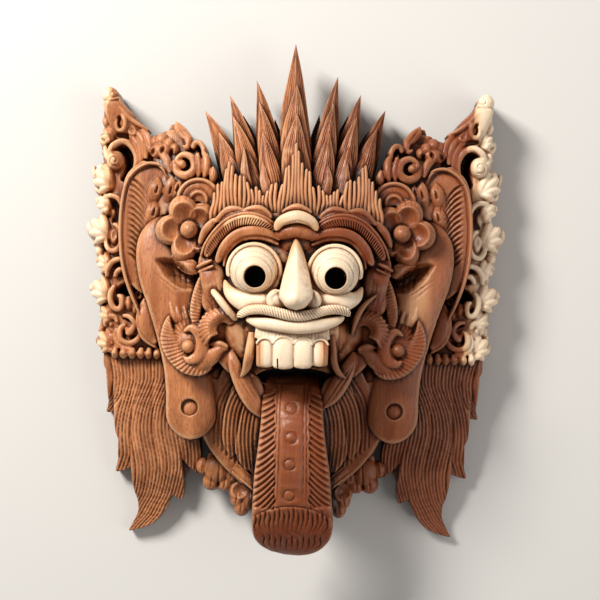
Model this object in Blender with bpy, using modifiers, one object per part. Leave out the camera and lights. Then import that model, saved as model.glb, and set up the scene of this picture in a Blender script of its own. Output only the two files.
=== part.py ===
"""Carved wooden demon mask, one block of two-toned wood, lying on its hollow back.

The mask looks up along +Z, its crown points to +Y, and its width runs along X.
The carving is drawn on a board with one unit for each millimetre of the real mask,
and the board is stretched to the width, height and depth named below.
"""
import math

import bmesh
import bpy
from mathutils import Vector

# Overall size of the mask in metres
MASK_WIDTH = 0.2416
MASK_HEIGHT = 0.2916
MASK_DEPTH = 0.1120

# Walls and bores in metres, which stay as they are when the mask is made larger
HOLLOW_WALL = 0.0130
PUPIL_BORE = 0.0120
LOBE_BORE = 0.0100
LOBE_BORE_DEPTH = 0.0090
PIERCING_BORE = 0.0090
PIERCING_FLOOR = 0.0060
MOUTH_WIDTH = 0.0430
MOUTH_HEIGHT = 0.0120
TONGUE_THICKNESS = 0.0150
THROUGH_CUT_START = 0.0100
WELD = 0.000002

# How finely the joined carving is read, as a share of its height, and how many faces it is kept to
CARVING_GRAIN = 1 / 290
CARVED_FACES = 8800

# The drawing board that the carving is laid out on
BOARD_WIDTH = 241.6
BOARD_HEIGHT = 291.6
BOARD_DEPTH = 112.0
BOARD_CENTRE_X = 0.0
BOARD_CENTRE_Y = -0.4

# Places and half-sizes on the board that several forms and cutters share
HEAD_Y = 2.0
HEAD_ACROSS = 72.0
HEAD_UP = 80.0
HEAD_DEEP = 62.0
EYE_X = 22.0
EYE_Y = 14.0
EYE_TOP = 84.5
EYE_RADIUS = 13.7
PUPIL_Y = 10.7
MOUTH_X = 1.0
MOUTH_Y = -45.0
FLOWER_X = 59.8
FLOWER_Y = 37.0
LOBE_X = 58.4
LOBE_Y = -64.0
LOBE_TOP = 46.0
PIERCING_X = 97.5
PIERCING_Y = 2.5

UNIT_X = MASK_WIDTH / BOARD_WIDTH
UNIT_Y = MASK_HEIGHT / BOARD_HEIGHT
UNIT_Z = MASK_DEPTH / BOARD_DEPTH

# Cross-sections of a carved strand: side from -1 to 1, height from 0 at its foot to 1 at its top
ROOF = ((-1, 0), (0, 1), (1, 0))
BLOCK = ((-1, 0), (-0.7, 1), (0.7, 1), (1, 0))
ROUND = ((-1, 0), (-0.8, 0.7), (0, 1), (0.8, 0.7), (1, 0))

HEARTWOOD = (0.36, 0.16, 0.075, 1.0)
HEARTWOOD_ROUGHNESS = 0.45

pieces = []


def board(x, y, z):
    """The point in metres of a place on the drawing board."""
    return Vector(((x - BOARD_CENTRE_X) * UNIT_X, (y - BOARD_CENTRE_Y) * UNIT_Y, z * UNIT_Z))


def along(values, share):
    """A smooth value between evenly spaced ones, share running from 0 to 1."""
    spans = len(values) - 1
    place = share * spans
    start = min(int(place), spans - 1)
    step = place - start
    before = values[max(start - 1, 0)]
    first = values[start]
    second = values[start + 1]
    after = values[min(start + 2, spans)]
    bend = (second - before) * 0.5
    next_bend = (after - first) * 0.5
    rise = second - first
    return (first + bend * step + (rise * 3 - bend * 2 - next_bend) * step ** 2
            + (bend + next_bend - rise * 2) * step ** 3)


def fluted(ridges, groove=0.72):
    """A strand's cross-section with this many ridges side by side."""
    section = [(-1, 0)]
    for index in range(2 * ridges - 1):
        side = (index + 1) / ridges - 1
        section.append((side, 1 if index % 2 == 0 else groove))
    section.append((1, 0))
    return section


def add_piece(name, mesh_builder):
    """A closed solid from a bmesh, put with the others that are to be joined."""
    bmesh.ops.recalc_face_normals(mesh_builder, faces=mesh_builder.faces)
    mesh = bpy.data.meshes.new(name)
    mesh_builder.to_mesh(mesh)
    mesh_builder.free()
    piece = bpy.data.objects.new(name, mesh)
    pieces.append(piece)
    return piece


def strand(name, route, foot, section=ROOF, rings=3, side=1, flat_tip=False, thickness=None):
    """A carved lock, leaf, lip or rib.

    It is a UV sphere whose rings are carried along a smooth route of (x, y, top, width) places,
    and take the cross-section's shape there. Its root is cut flat, and its tip is pointed or flat.
    It stands down to its foot, or keeps one thickness where that is given.
    """
    places = [Vector((place[0] * side, place[1], place[2], place[3])) for place in route]
    count = len(section)
    shaper = bmesh.new()
    bmesh.ops.create_uvsphere(shaper, u_segments=count, v_segments=rings + 1, radius=1)
    last = rings - 1 if flat_tip else rings

    def section_point(ring, turn):
        share = ring / last
        here = along(places, share)
        ahead = along(places, min(share + 0.02, 1)) - along(places, max(share - 0.02, 0))
        across = Vector((-ahead[1], ahead[0])).normalized()
        lowest = foot if thickness is None else here[2] - thickness
        offset, height = section[turn]
        reach = offset * max(here[3], 0) / 2
        return board(here[0] + across[0] * reach, here[1] + across[1] * reach,
                     lowest + (here[2] - lowest) * height)

    def end_point(ring):
        total = Vector((0, 0, 0))
        for turn in range(count):
            total += section_point(ring, turn)
        return total / count

    for vertex in shaper.verts:
        fall = math.acos(max(-1, min(1, vertex.co.z))) / math.pi * (rings + 1)
        ring = round(fall) - 1
        if ring < 0:
            vertex.co = end_point(0)
        elif ring >= rings:
            vertex.co = end_point(last)
        else:
            turn = round(math.atan2(vertex.co.y, vertex.co.x) / (2 * math.pi) * count) % count
            vertex.co = section_point(ring, turn)
    return add_piece(name, shaper)


def pair(name, route, foot, **more):
    """The same strand on the right side and, mirrored, on the left."""
    strand(name + "_right", route, foot, side=1, **more)
    strand(name + "_left", route, foot, side=-1, **more)


def ball(name, x, y, z, across, up, deep, turn=0, segments=8, rings=5):
    """A rounded lump with its own half-sizes, turned in the plane of the board."""
    shaper = bmesh.new()
    bmesh.ops.create_uvsphere(shaper, u_segments=segments, v_segments=rings, radius=1)
    for vertex in shaper.verts:
        east = vertex.co.x * across
        north = vertex.co.y * up
        vertex.co = board(x + east * math.cos(turn) - north * math.sin(turn),
                          y + east * math.sin(turn) + north * math.cos(turn),
                          z + vertex.co.z * deep)
    return add_piece(name, shaper)


def ball_pair(name, x, y, z, across, up, deep, turn=0, **more):
    """The same lump on both sides."""
    ball(name + "_right", x, y, z, across, up, deep, turn, **more)
    ball(name + "_left", -x, y, z, across, up, deep, -turn, **more)


def arc(x, y, radius, start, end, count, top, width):
    """Places on an arc round a centre, for a strand's route, angles in degrees."""
    route = []
    for index in range(count):
        angle = math.radians(start + (end - start) * index / (count - 1))
        route.append((x + radius * math.cos(angle), y + radius * math.sin(angle), top, width))
    return route


def scroll(x, y, outer, inner, start, turns, top, width, count=9):
    """Places on a spiral that winds in to its centre."""
    route = []
    for index in range(count):
        share = index / (count - 1)
        angle = math.radians(start + 360 * turns * share)
        radius = outer + (inner - outer) * share
        route.append((x + radius * math.cos(angle), y + radius * math.sin(angle),
                      top, width * (1 - 0.4 * share)))
    return route


def make_ground():
    """The head's dome, the face that stands on it, and the flat panels round them."""
    ball("head", 0, HEAD_Y, 0, HEAD_ACROSS, HEAD_UP, HEAD_DEEP, segments=24, rings=12)
    ball("face", 0, -4, 28, 56, 56, 50, segments=20, rings=12)
    ball("forehead", 0.6, 22, 30, 59, 34, 46, segments=16, rings=10)
    ball("snout", 1, -18, 62, 30, 22, 28, segments=14, rings=8)
    pair("wing_panel", ((104, 106, 16, 8), (102, 84, 18, 24), (97, 60, 20, 34), (95, 30, 20, 36),
                        (94, 0, 20, 36), (93, -20, 20, 34), (92, -37, 18, 30)), -2,
         section=BLOCK, rings=7, flat_tip=True)
    pair("shoulder", ((73, 96, 28, 10), (71, 84, 32, 26), (66, 70, 38, 34), (60, 50, 42, 40)), -3,
         section=BLOCK, rings=4, flat_tip=True)
    pair("hair_panel", ((80, -26, 16, 48), (80, -60, 16, 50), (77, -90, 14, 42), (78, -112, 12, 24),
                        (86, -132, 9, 4)), -4, section=BLOCK, rings=6)
    strand("chin_panel", ((0, -40, 32, 108), (0, -78, 25, 106), (0, -96, 20, 88), (0, -116, 15, 54),
                          (0, -134, 12, 12)), -5, section=BLOCK, rings=5, flat_tip=True)


def make_crown():
    """Three rows of pointed leaves, the tallest at the back."""
    rows = (
        # row, centre tip, first tip, drop to the next, first tip x, step, root step, top, foot
        ("back", 145.8, 127.3, 8.8, 23.6, 14.6, 12.5, 31, 6),
        ("middle", 121.4, 111.4, 7.6, 21.0, 12.6, 12.0, 42, 14),
        ("front", 102.9, 93.4, 7.4, 18.8, 10.0, 11.0, 53, 24),
    )
    root_y = 56
    for row, centre_tip, first_tip, drop, first_x, step, root_step, top, foot in rows:
        for index in range(-3, 4):
            steps = abs(index)
            hand = 0 if index == 0 else index / steps
            tip_y = centre_tip if steps == 0 else first_tip - drop * (steps - 1)
            tip_x = hand * (first_x + step * (steps - 1)) if steps else -1.0
            root_x = root_step * index
            width = 18.5 if steps == 0 else 14.5
            rise = tip_y - root_y
            strand(f"crown_{row}_{index + 3}", (
                (root_x, root_y, top + 8 - 2 * steps, width * 0.9),
                (root_x + (tip_x - root_x) * 0.22, root_y + rise * 0.3, top + 6 - steps, width),
                (root_x + (tip_x - root_x) * 0.5, root_y + rise * 0.58, top + 3 - steps, width * 0.86),
                (root_x + (tip_x - root_x) * 0.78, root_y + rise * 0.82, top + 1 - steps, width * 0.5),
                (tip_x, tip_y, top - 3 - steps, 0)), foot - steps, rings=5)


def make_fringe():
    """The fluted hair that stands up behind the brows in three points."""
    strand("fringe_centre", ((0.6, 43, 66, 44), (0.4, 56, 67, 38), (0.3, 63, 66, 24), (0.3, 72, 63, 13),
                             (0.3, 88, 59, 0)), 34, section=fluted(6), rings=6)
    pair("fringe_side", ((33, 42, 60, 27), (33.5, 58, 61, 24), (35.5, 64, 60, 17), (36.6, 69, 58, 10),
                         (38, 77.5, 55, 0)), 32, section=fluted(4), rings=5)


def make_brows():
    """The arched lash bands, the folds below them and the petals above."""
    strand("brow_ground", ((-50, 28, 62, 12), (-36, 42, 68, 14), (-18, 45, 70, 13), (0.6, 44, 72, 13),
                           (19, 45, 70, 13), (37, 42, 68, 14), (51, 28, 62, 12)), 36,
           section=BLOCK, rings=9, flat_tip=True)
    pair("brow_lash", ((11.7, 35.7, 80, 5), (18.6, 40.6, 80, 6), (26.5, 42.8, 79, 6),
                       (35.2, 40.5, 77, 6), (41.8, 34.6, 74, 6), (49.3, 23.5, 68, 5)), 52,
         section=BLOCK, rings=6, flat_tip=True)
    pair("brow_fold", ((8, 31.5, 84, 3), (16, 34.4, 85, 5), (25, 35.2, 85, 5.5), (32.7, 32, 83, 5),
                       (38, 26, 81, 4.5), (41, 18, 77, 3)), 60, section=BLOCK, rings=6, flat_tip=True)
    for name, x, y in (("inner", 22, 47.3), ("outer", 37, 46)):
        ball_pair("brow_petal_" + name, x, y, 66, 7.8, 3, 6, segments=8, rings=4)
    strand("forehead_arc", arc(0.7, 35.5, 11.3, 182, -2, 7, 87, 4.2), 64, section=BLOCK, rings=7,
           flat_tip=True)
    ball("forehead_dome", 0.7, 37, 74, 9, 6, 10, segments=10, rings=6)
    strand("forehead_cap", ((-8, 47, 78, 3), (0.7, 51, 81, 4), (9, 47.5, 78, 3)), 60,
           section=BLOCK, rings=4, flat_tip=True)


def make_eyes():
    """Round eyeballs with a lid that runs over them and down beside the nose."""
    ball_pair("eyeball", EYE_X, EYE_Y, EYE_TOP, EYE_RADIUS, EYE_RADIUS, EYE_RADIUS, segments=16, rings=10)
    pair("eyelid", [(2 * EYE_X - x, y, top, width)
                    for x, y, top, width in arc(EYE_X, EYE_Y, 16.2, 120, -55, 7, 90, 3.6)], 62,
         section=BLOCK, rings=8, flat_tip=True)


def make_nose():
    """A short broad nose with round nostrils."""
    strand("nose", ((1.1, 31, 84, 10), (1.1, 21, 93, 13), (1.3, 9, 105, 17), (1.5, 0, 112, 20),
                    (1.7, -5.5, 102, 16)), 66, section=ROUND, rings=7, flat_tip=True)
    ball_pair("nostril", 10.6, -1, 94, 6.8, 5.6, 9, segments=8, rings=6)


def make_mouth():
    """Cheeks, moustache, upper lip, gum, teeth and tusks."""
    pair("cheek", ((38, 8, 78, 6), (33, -1.5, 86, 10), (24, -3.5, 91, 11), (12, -1, 92, 8)), 56,
         section=ROUND, rings=5, flat_tip=True)
    pair("moustache", ((30.5, -9.5, 86, 3), (25, -6, 93, 4.6), (18, -3.8, 96, 4.8), (9.3, -5.4, 99, 4.8),
                       (0.6, -7.5, 100, 4.8)), 62, section=BLOCK, rings=5, flat_tip=True)
    strand("upper_lip", ((-28.5, -13.2, 85, 2), (-20, -13, 94, 7), (-9, -14.9, 98, 8.5),
                         (1.3, -15.8, 99, 9), (12, -14.8, 98, 8.5), (21, -12.6, 94, 7),
                         (29, -12.4, 85, 2)), 64, section=ROUND, rings=8, flat_tip=True)
    strand("gum", ((-22, -19.6, 88, 5), (-8, -20.4, 91, 6), (8, -20.4, 91, 6), (22, -19.6, 88, 5)), 64,
           section=BLOCK, rings=4, flat_tip=True)
    for name, x, width, top in (("outer_left", -15.3, 8.9, 92.5), ("inner_left", -5.2, 10.9, 95),
                                ("inner_right", 5.4, 9.6, 95), ("outer_right", 14.9, 8.9, 92.5)):
        strand("tooth_" + name, ((x, -18, top - 3, width * 0.8), (x, -27, top, width),
                                 (x, -34, top, width), (x, -38.6, top - 3, width * 0.82)), 68,
               section=ROUND, rings=4, flat_tip=True)
    pair("tusk", ((21.8, -20, 87, 6.5), (23.4, -32, 85, 5.6), (28.4, -44, 79, 0)), 66,
         section=ROUND, rings=4)
    pair("side_tusk", ((44, 1.2, 78, 3), (38, -7, 81, 4), (31.5, -16, 77, 3)), 58,
         section=BLOCK, rings=3, flat_tip=True)
    pair("mouth_corner", ((34.5, -29, 68, 8), (29.8, -45, 68, 12), (23, -57, 66, 11),
                          (15, -67, 62, 5)), 34, section=ROUND, rings=5, flat_tip=True)


def make_tongue():
    """The long tongue: a raised strip with bosses, ribs to either side and flames at its tip."""
    route = ((0, -46, 62, 33), (0.2, -60, 70, 35), (0.3, -75, 74, 37), (0.3, -89, 75.5, 40),
             (0.5, -104, 73.5, 44), (0.8, -119, 68, 45), (1, -132, 61, 44), (1, -141, 55, 36),
             (1, -145.6, 51, 17))
    thickness = TONGUE_THICKNESS / UNIT_Z
    section = ((-0.86, 0), (-1, 0.45), (-0.94, 0.82), (-0.36, 0.88), (-0.32, 1), (0.32, 1),
               (0.36, 0.88), (0.94, 0.82), (1, 0.45), (0.86, 0))
    strand("tongue", route, 0, section=section, rings=9, flat_tip=True, thickness=thickness)
    places = [Vector(place) for place in route]
    rib_count = 14
    for index in range(rib_count):
        share = 0.1 + 0.6 * index / (rib_count - 1)
        here = along(places, share)
        rib_top = here[2] + 0.6
        pair(f"tongue_rib_{index}", ((7.5, here[1] + 1.4, rib_top, 2.6),
                                     (here[3] / 2 - 1.2, here[1] - 1.6, rib_top - 2.6, 3)),
             rib_top - 6, rings=2, flat_tip=True)
    for index, boss_y in enumerate((-62.3, -78, -92.8, -110.2)):
        ball(f"tongue_boss_{index}", 0.4, boss_y, 74 - 0.011 * (boss_y + 88) ** 2, 2.9, 2.9, 2.8,
             segments=8, rings=4)
    for index, flame_x in enumerate((-15, -9, -3, 4, 10, 16)):
        strand(f"tongue_flame_{index}", ((flame_x * 0.72, -113, 70, 4), (flame_x * 0.95, -126, 67, 6),
                                         (flame_x * 1.05, -140, 57.5, 1)), 48, rings=3, flat_tip=True)
    strand("tongue_root", ((0.3, -46, 56, 30), (0.3, -70, 60, 28), (0.3, -96, 52, 24), (0.3, -112, 34, 14)),
           20, section=BLOCK, rings=4, flat_tip=True)


def make_beard():
    """Locks that fall from the jaw on both sides of the tongue, and leaves below them."""
    locks = (
        ("a", ((38, -44, 44, 12), (41.9, -62, 40, 13), (43.2, -84, 30, 0)), 3),
        ("b", ((30, -50, 45, 12), (33.2, -71, 39, 13), (33.6, -94, 29, 0)), 3),
        ("c", ((22.8, -58, 46, 12), (25.4, -82, 39, 12), (25.3, -102, 29, 0)), 3),
        ("d", ((17, -70, 46, 8), (19.4, -92, 36, 8), (19.6, -108, 27, 0)), 2),
    )
    for name, route, ridges in locks:
        pair("beard_" + name, route, 6, section=fluted(ridges), rings=3)
    pair("collar", ((49, -84, 24, 5), (42, -96, 25, 6), (32, -105, 26, 6), (19, -114, 27, 5)), 2,
         section=BLOCK, rings=4, flat_tip=True)
    lobes = ((43.4, -101.5, 24.5, 6.6, 7.6), (46.4, -109.2, 21.5, 4.6, 4.8), (38.6, -109.6, 21.5, 4.4, 4.4),
             (51.6, -100.4, 20, 3.6, 4.6), (30.2, -114.6, 24, 6.4, 6.4), (28.6, -123.6, 20, 4.0, 5.4),
             (24, -120, 21, 4.4, 5.6))
    for index, (x, y, top, across, up) in enumerate(lobes):
        ball_pair(f"collar_lobe_{index}", x, y, top / 2, across, up, top / 2, segments=8, rings=5)


def make_hair_falls():
    """Long fluted locks that hang below the wings."""
    locks = (
        ("a", ((104, -34, 22, 13), (103, -50, 20, 13), (103.4, -60, 17, 12), (110.2, -70.4, 10, 0)), 3, 4),
        ("b", ((98.6, -38, 24, 14), (98.2, -68, 19.5, 13), (97.4, -90, 14, 2)), 3, 3),
        ("c", ((95.6, -34, 24, 16), (95.4, -66, 20.5, 15), (96.6, -92, 15.5, 12),
               (104.2, -105.6, 10, 0)), 3, 4),
        ("d", ((90, -50, 22, 14), (88.8, -96, 16.5, 12), (88.4, -124, 10, 2)), 3, 3),
        ("e", ((84, -34, 25, 24), (82, -70, 21.5, 24), (80.4, -100, 17.5, 23), (81.5, -121, 12.5, 18),
               (95.8, -141, 8, 0)), 5, 6),
        ("f", ((74, -44, 26, 16), (73, -80, 22, 15), (70.2, -104, 17.5, 12.5), (63.9, -121, 11, 0)), 3, 4),
        ("g", ((64, -62, 25, 16), (61.4, -82, 21.5, 14), (58.4, -95, 17.5, 11),
               (54.6, -105.6, 13, 0)), 3, 4),
    )
    for name, route, ridges, rings in locks:
        pair("hair_" + name, route, -1, section=fluted(ridges), rings=rings)


def make_ears():
    """Long ears whose smooth conch runs down into a heavy pierced lobe."""
    pair("ear_conch", ((81.8, 74, 30, 16), (79, 46, 37, 29), (75, 18, 43, 34), (70, -3, 46, 32),
                       (63, -25, 47, 29), (58.5, -48, 46, 29), (57.8, -66, 45, 29), (58, -78, 43, 22),
                       (58, -83, 39, 9)), -1, section=ROUND, rings=10, flat_tip=True)
    pair("ear_rim", ((72, 72, 37, 3), (81.4, 76, 37, 5), (91, 72.5, 37, 6), (97, 62, 37, 6),
                     (99, 40, 38, 6), (96, 22, 39, 6), (89, 8, 40, 3)), 6,
         section=BLOCK, rings=8, flat_tip=True)
    for index in range(6):
        rib_y = 66 - 8 * index
        pair(f"ear_rib_{index}", ((96, rib_y, 35, 4), (84, rib_y - 7, 39, 3)), 10,
             rings=2, flat_tip=True)


def make_flowers():
    """A five-petalled flower on each temple, with a fan behind it."""
    petal_count = 5
    for index in range(petal_count):
        angle = math.radians(58 + 360 * index / petal_count)
        ball_pair(f"petal_{index}", FLOWER_X + 11 * math.cos(angle), FLOWER_Y + 11 * math.sin(angle), 55,
                  8, 6.4, 6.5, turn=angle, segments=7, rings=4)
    ball_pair("flower_boss", FLOWER_X, FLOWER_Y, 58, 5.4, 5.4, 7, segments=8, rings=5)
    ball_pair("flower_ground", FLOWER_X, FLOWER_Y, 42, 15, 15, 14, segments=10, rings=5)
    pair("flower_fan", arc(56.3, 48, 11.5, 170, 25, 6, 52, 3.4), 30, section=BLOCK, rings=6,
         flat_tip=True)
    pair("flower_fan_inner", arc(56.3, 48, 6, 170, 25, 5, 51, 3.4), 30, section=BLOCK, rings=5,
         flat_tip=True)


def make_jaw_curls():
    """Fluted curls at the corners of the jaw, and the ribs and bands in front of the ears."""
    ball_pair("curl_ground", 56, -27, 44, 15, 15, 15, segments=10, rings=6)
    pair("curl", ((70.9, -15, 54, 2), (71.5, -28, 59, 8), (65.8, -38.2, 61, 9), (54.5, -43.5, 63, 9),
                  (43.2, -39.4, 64, 8), (35.5, -30.5, 63, 2)), 30, section=ROUND, rings=8,
         flat_tip=True)
    pair("curl_inner", ((64, -19, 61, 3), (54, -19.5, 64, 5), (49, -27.6, 65, 5), (52, -35.4, 64, 4)),
         36, section=BLOCK, rings=5, flat_tip=True)
    ball_pair("curl_boss", 59.1, -29.6, 62, 4, 4, 5, segments=8, rings=4)
    pair("ear_band", ((48.5, 13, 60, 4), (52.4, 0, 61, 6.5), (54.4, -15, 60, 5)), 30,
         section=BLOCK, rings=4, flat_tip=True)
    for index, (tip_x, tip_y) in enumerate(((50, -7), (51, -13.5), (48.5, -20.5), (43.5, -26.5))):
        pair(f"cheek_rib_{index}", ((35.5, -9 - 2 * index, 70, 3), (tip_x, tip_y, 63, 4)), 40,
             rings=2, flat_tip=True)


def leaf_cluster(name, tip_x, tip_y, reach):
    """An edge leaf of the wing: a long lobe and two short ones below it."""
    root_x = tip_x - reach
    pair(name + "_long", ((root_x, tip_y - 7, 24, 6), (tip_x - reach * 0.4, tip_y - 4.5, 22, 9),
                          (tip_x, tip_y, 13, 0)), -1, rings=3)
    for index in range(2):
        drop = 7 + 6 * index
        short_x = tip_x - 3 - 1.5 * index
        pair(f"{name}_short_{index}", ((root_x, tip_y - 4 - drop, 23, 5),
                                       (short_x - 3, tip_y - 1 - drop, 20, 6),
                                       (short_x, tip_y - drop, 13, 0)), -1, rings=3)


def make_wings():
    """Pierced-looking scrollwork beside the ears, with a knobbed horn at the top."""
    pair("horn", ((90, 78, 26, 10), (99, 96, 27, 11), (106.8, 108.5, 27, 9), (109.8, 117, 26, 8),
                  (109.9, 120.8, 22, 5)), 3, section=ROUND, rings=6, flat_tip=True)
    for index, (tip_x, tip_y) in enumerate(((113.4, 103), (113, 95), (113.6, 86.5))):
        pair(f"horn_leaf_{index}", ((104, tip_y - 5, 23, 6), (tip_x - 3, tip_y - 2, 20, 6),
                                    (tip_x, tip_y, 13, 0)), -1, rings=3)
    leaf_cluster("leaf_top", 118.6, 71.5, 14)
    leaf_cluster("leaf_middle", 120.8, 39.8, 16)
    leaf_cluster("leaf_low", 117.4, 5.2, 14)
    leaf_cluster("leaf_bottom", 114.4, -21, 12)
    scrolls = (
        # name, centre x, centre y, outer radius, start angle, top
        ("top", 104.6, 79, 8.2, 60, 30),
        ("upper", 107.6, 48.6, 6.2, 120, 28),
        ("middle", 105.4, 29.4, 6, 60, 28),
        ("lower", 94.5, -21.5, 7, 100, 30),
    )
    for name, x, y, radius, start, top in scrolls:
        pair("scroll_" + name, scroll(x, y, radius, radius * 0.35, start, 1.15, top, radius * 0.5), 6,
             section=BLOCK, rings=9, flat_tip=True)
    for index, (x, y, radius) in enumerate(((104, -4, 4.4), (90.5, 0, 3.6), (105.5, -30, 4))):
        ball_pair(f"wing_ball_{index}", x, y, 24, radius, radius, 6, segments=7, rings=4)
    tendrils = (
        ((98, 70, 28, 4), (105, 64, 30, 5), (110, 57, 24, 3)),
        ((112, 22, 24, 3), (104, 17, 28, 5), (95, 12, 32, 4)),
        ((111, 12, 24, 3), (103, 9, 27, 5), (93, 7, 31, 4)),
        ((110, -10, 24, 3), (102, -13, 27, 5), (97, -12, 28, 3)),
        ((93, 90, 28, 4), (90, 82, 30, 5), (92, 72, 32, 4)),
    )
    for index, route in enumerate(tendrils):
        pair(f"tendril_{index}", route, 6, section=ROOF, rings=3, flat_tip=True)
    pair("wing_almond", ((81, -2, 38, 2), (84.5, -12, 38, 8), (82.5, -24, 36, 9), (77, -33, 33, 2)), 4,
         section=BLOCK, rings=5, flat_tip=True)
    for index in range(5):
        ball_pair(f"wing_drop_{index}", 100 - 5.8 * index, -36, 24, 3.6, 3.6, 6, segments=7, rings=4)


def make_shoulder_leaves():
    """Leaves and a scroll between the ear and the crown."""
    pair("shoulder_leaf", ((76, 84, 34, 8), (74.5, 93, 35, 8), (71.8, 102, 30, 0)), 0, rings=3)
    for index, (tip_x, tip_y) in enumerate(((85.5, 87), (81.5, 92.5))):
        pair(f"shoulder_lobe_{index}", ((77, 78, 36, 5), (tip_x - 2, tip_y - 4, 35, 7),
                                        (tip_x, tip_y, 28, 0)), 2, rings=3)
    pair("shoulder_scroll", scroll(64.8, 76, 7.4, 2.6, 60, 1.2, 46, 3.8), 26, section=BLOCK, rings=9,
         flat_tip=True)
    pair("shoulder_loop", scroll(63.5, 91.5, 5.2, 2, 200, 1, 38, 3), 4, section=BLOCK, rings=6,
         flat_tip=True)
    pair("shoulder_curl", ((60, 92, 34, 3), (57, 84, 41, 6), (52, 76, 46, 6), (46, 68, 48, 3)), 8,
         rings=4, flat_tip=True)


def round_cutter(name, x, y, radius, low, high, segments=14):
    """A drill along Z, at a place on the board, its radius and ends in metres."""
    shaper = bmesh.new()
    bmesh.ops.create_cone(shaper, cap_ends=True, segments=segments, radius1=radius, radius2=radius,
                          depth=high - low)
    middle = board(x, y, 0) + Vector((0, 0, (low + high) / 2))
    for vertex in shaper.verts:
        vertex.co = vertex.co + middle
    bmesh.ops.recalc_face_normals(shaper, faces=shaper.faces)
    mesh = bpy.data.meshes.new(name)
    shaper.to_mesh(mesh)
    shaper.free()
    return bpy.data.objects.new(name, mesh)


def stretch_cutter(cutter, x, stretch):
    """Widen a drill along X about a place on the board."""
    middle = board(x, 0, 0).x
    for vertex in cutter.data.vertices:
        vertex.co.x = middle + (vertex.co.x - middle) * stretch
    return cutter


def block_cutter(name, low, high):
    """A box between two corners in metres."""
    shaper = bmesh.new()
    bmesh.ops.create_cube(shaper, size=1)
    for vertex in shaper.verts:
        for axis in range(3):
            vertex.co[axis] = low[axis] if vertex.co[axis] < 0 else high[axis]
    mesh = bpy.data.meshes.new(name)
    shaper.to_mesh(mesh)
    shaper.free()
    return bpy.data.objects.new(name, mesh)


def make_cutters():
    """The hollow back, the pupils and mouth that open into it, and the holes of the carving."""
    hollow = bmesh.new()
    bmesh.ops.create_uvsphere(hollow, u_segments=20, v_segments=12, radius=1)
    centre = board(0, HEAD_Y, 0)
    for vertex in hollow.verts:
        vertex.co.x = centre.x + vertex.co.x * (HEAD_ACROSS * UNIT_X - HOLLOW_WALL)
        vertex.co.y = centre.y + vertex.co.y * (HEAD_UP * UNIT_Y - HOLLOW_WALL)
        vertex.co.z = vertex.co.z * (HEAD_DEEP * UNIT_Z - HOLLOW_WALL)
    mesh = bpy.data.meshes.new("hollow")
    hollow.to_mesh(mesh)
    hollow.free()
    cutters = [bpy.data.objects.new("hollow", mesh)]
    lobe_floor = LOBE_TOP * UNIT_Z - LOBE_BORE_DEPTH
    for side in (-1, 1):
        cutters.append(round_cutter("pupil", side * EYE_X, PUPIL_Y, PUPIL_BORE / 2,
                                    THROUGH_CUT_START, MASK_DEPTH, segments=12))
        cutters.append(round_cutter("lobe_hole", side * LOBE_X, LOBE_Y, LOBE_BORE / 2,
                                    lobe_floor, MASK_DEPTH, segments=12))
        cutters.append(round_cutter("piercing", side * PIERCING_X, PIERCING_Y, PIERCING_BORE / 2,
                                    PIERCING_FLOOR, MASK_DEPTH, segments=10))
    mouth = round_cutter("mouth", MOUTH_X, MOUTH_Y, MOUTH_HEIGHT / 2, THROUGH_CUT_START, MASK_DEPTH,
                         segments=16)
    cutters.append(stretch_cutter(mouth, MOUTH_X, MOUTH_WIDTH / MOUTH_HEIGHT))
    cutters.append(block_cutter("floor", (-MASK_WIDTH, -MASK_HEIGHT, -MASK_DEPTH),
                                (MASK_WIDTH, MASK_HEIGHT, 0)))
    return cutters


def take_out(target, cutters):
    """Cut a collection of solids out of the target.

    The exact solver leaves open edges on this faceted carving, and the manifold solver keeps it closed.
    """
    modifier = target.modifiers.new("cuts", "BOOLEAN")
    modifier.operation = "DIFFERENCE"
    modifier.operand_type = "COLLECTION"
    modifier.collection = cutters
    modifier.solver = "MANIFOLD"


def joined_triangles(target, facets):
    """How many triangles the joined carving has before it is faceted."""
    facets.show_viewport = False
    mesh = bpy.data.meshes.new_from_object(target.evaluated_get(bpy.context.evaluated_depsgraph_get()))
    facets.show_viewport = True
    mesh.calc_loop_triangles()
    count = len(mesh.loop_triangles)
    bpy.data.meshes.remove(mesh)
    return count


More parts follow.
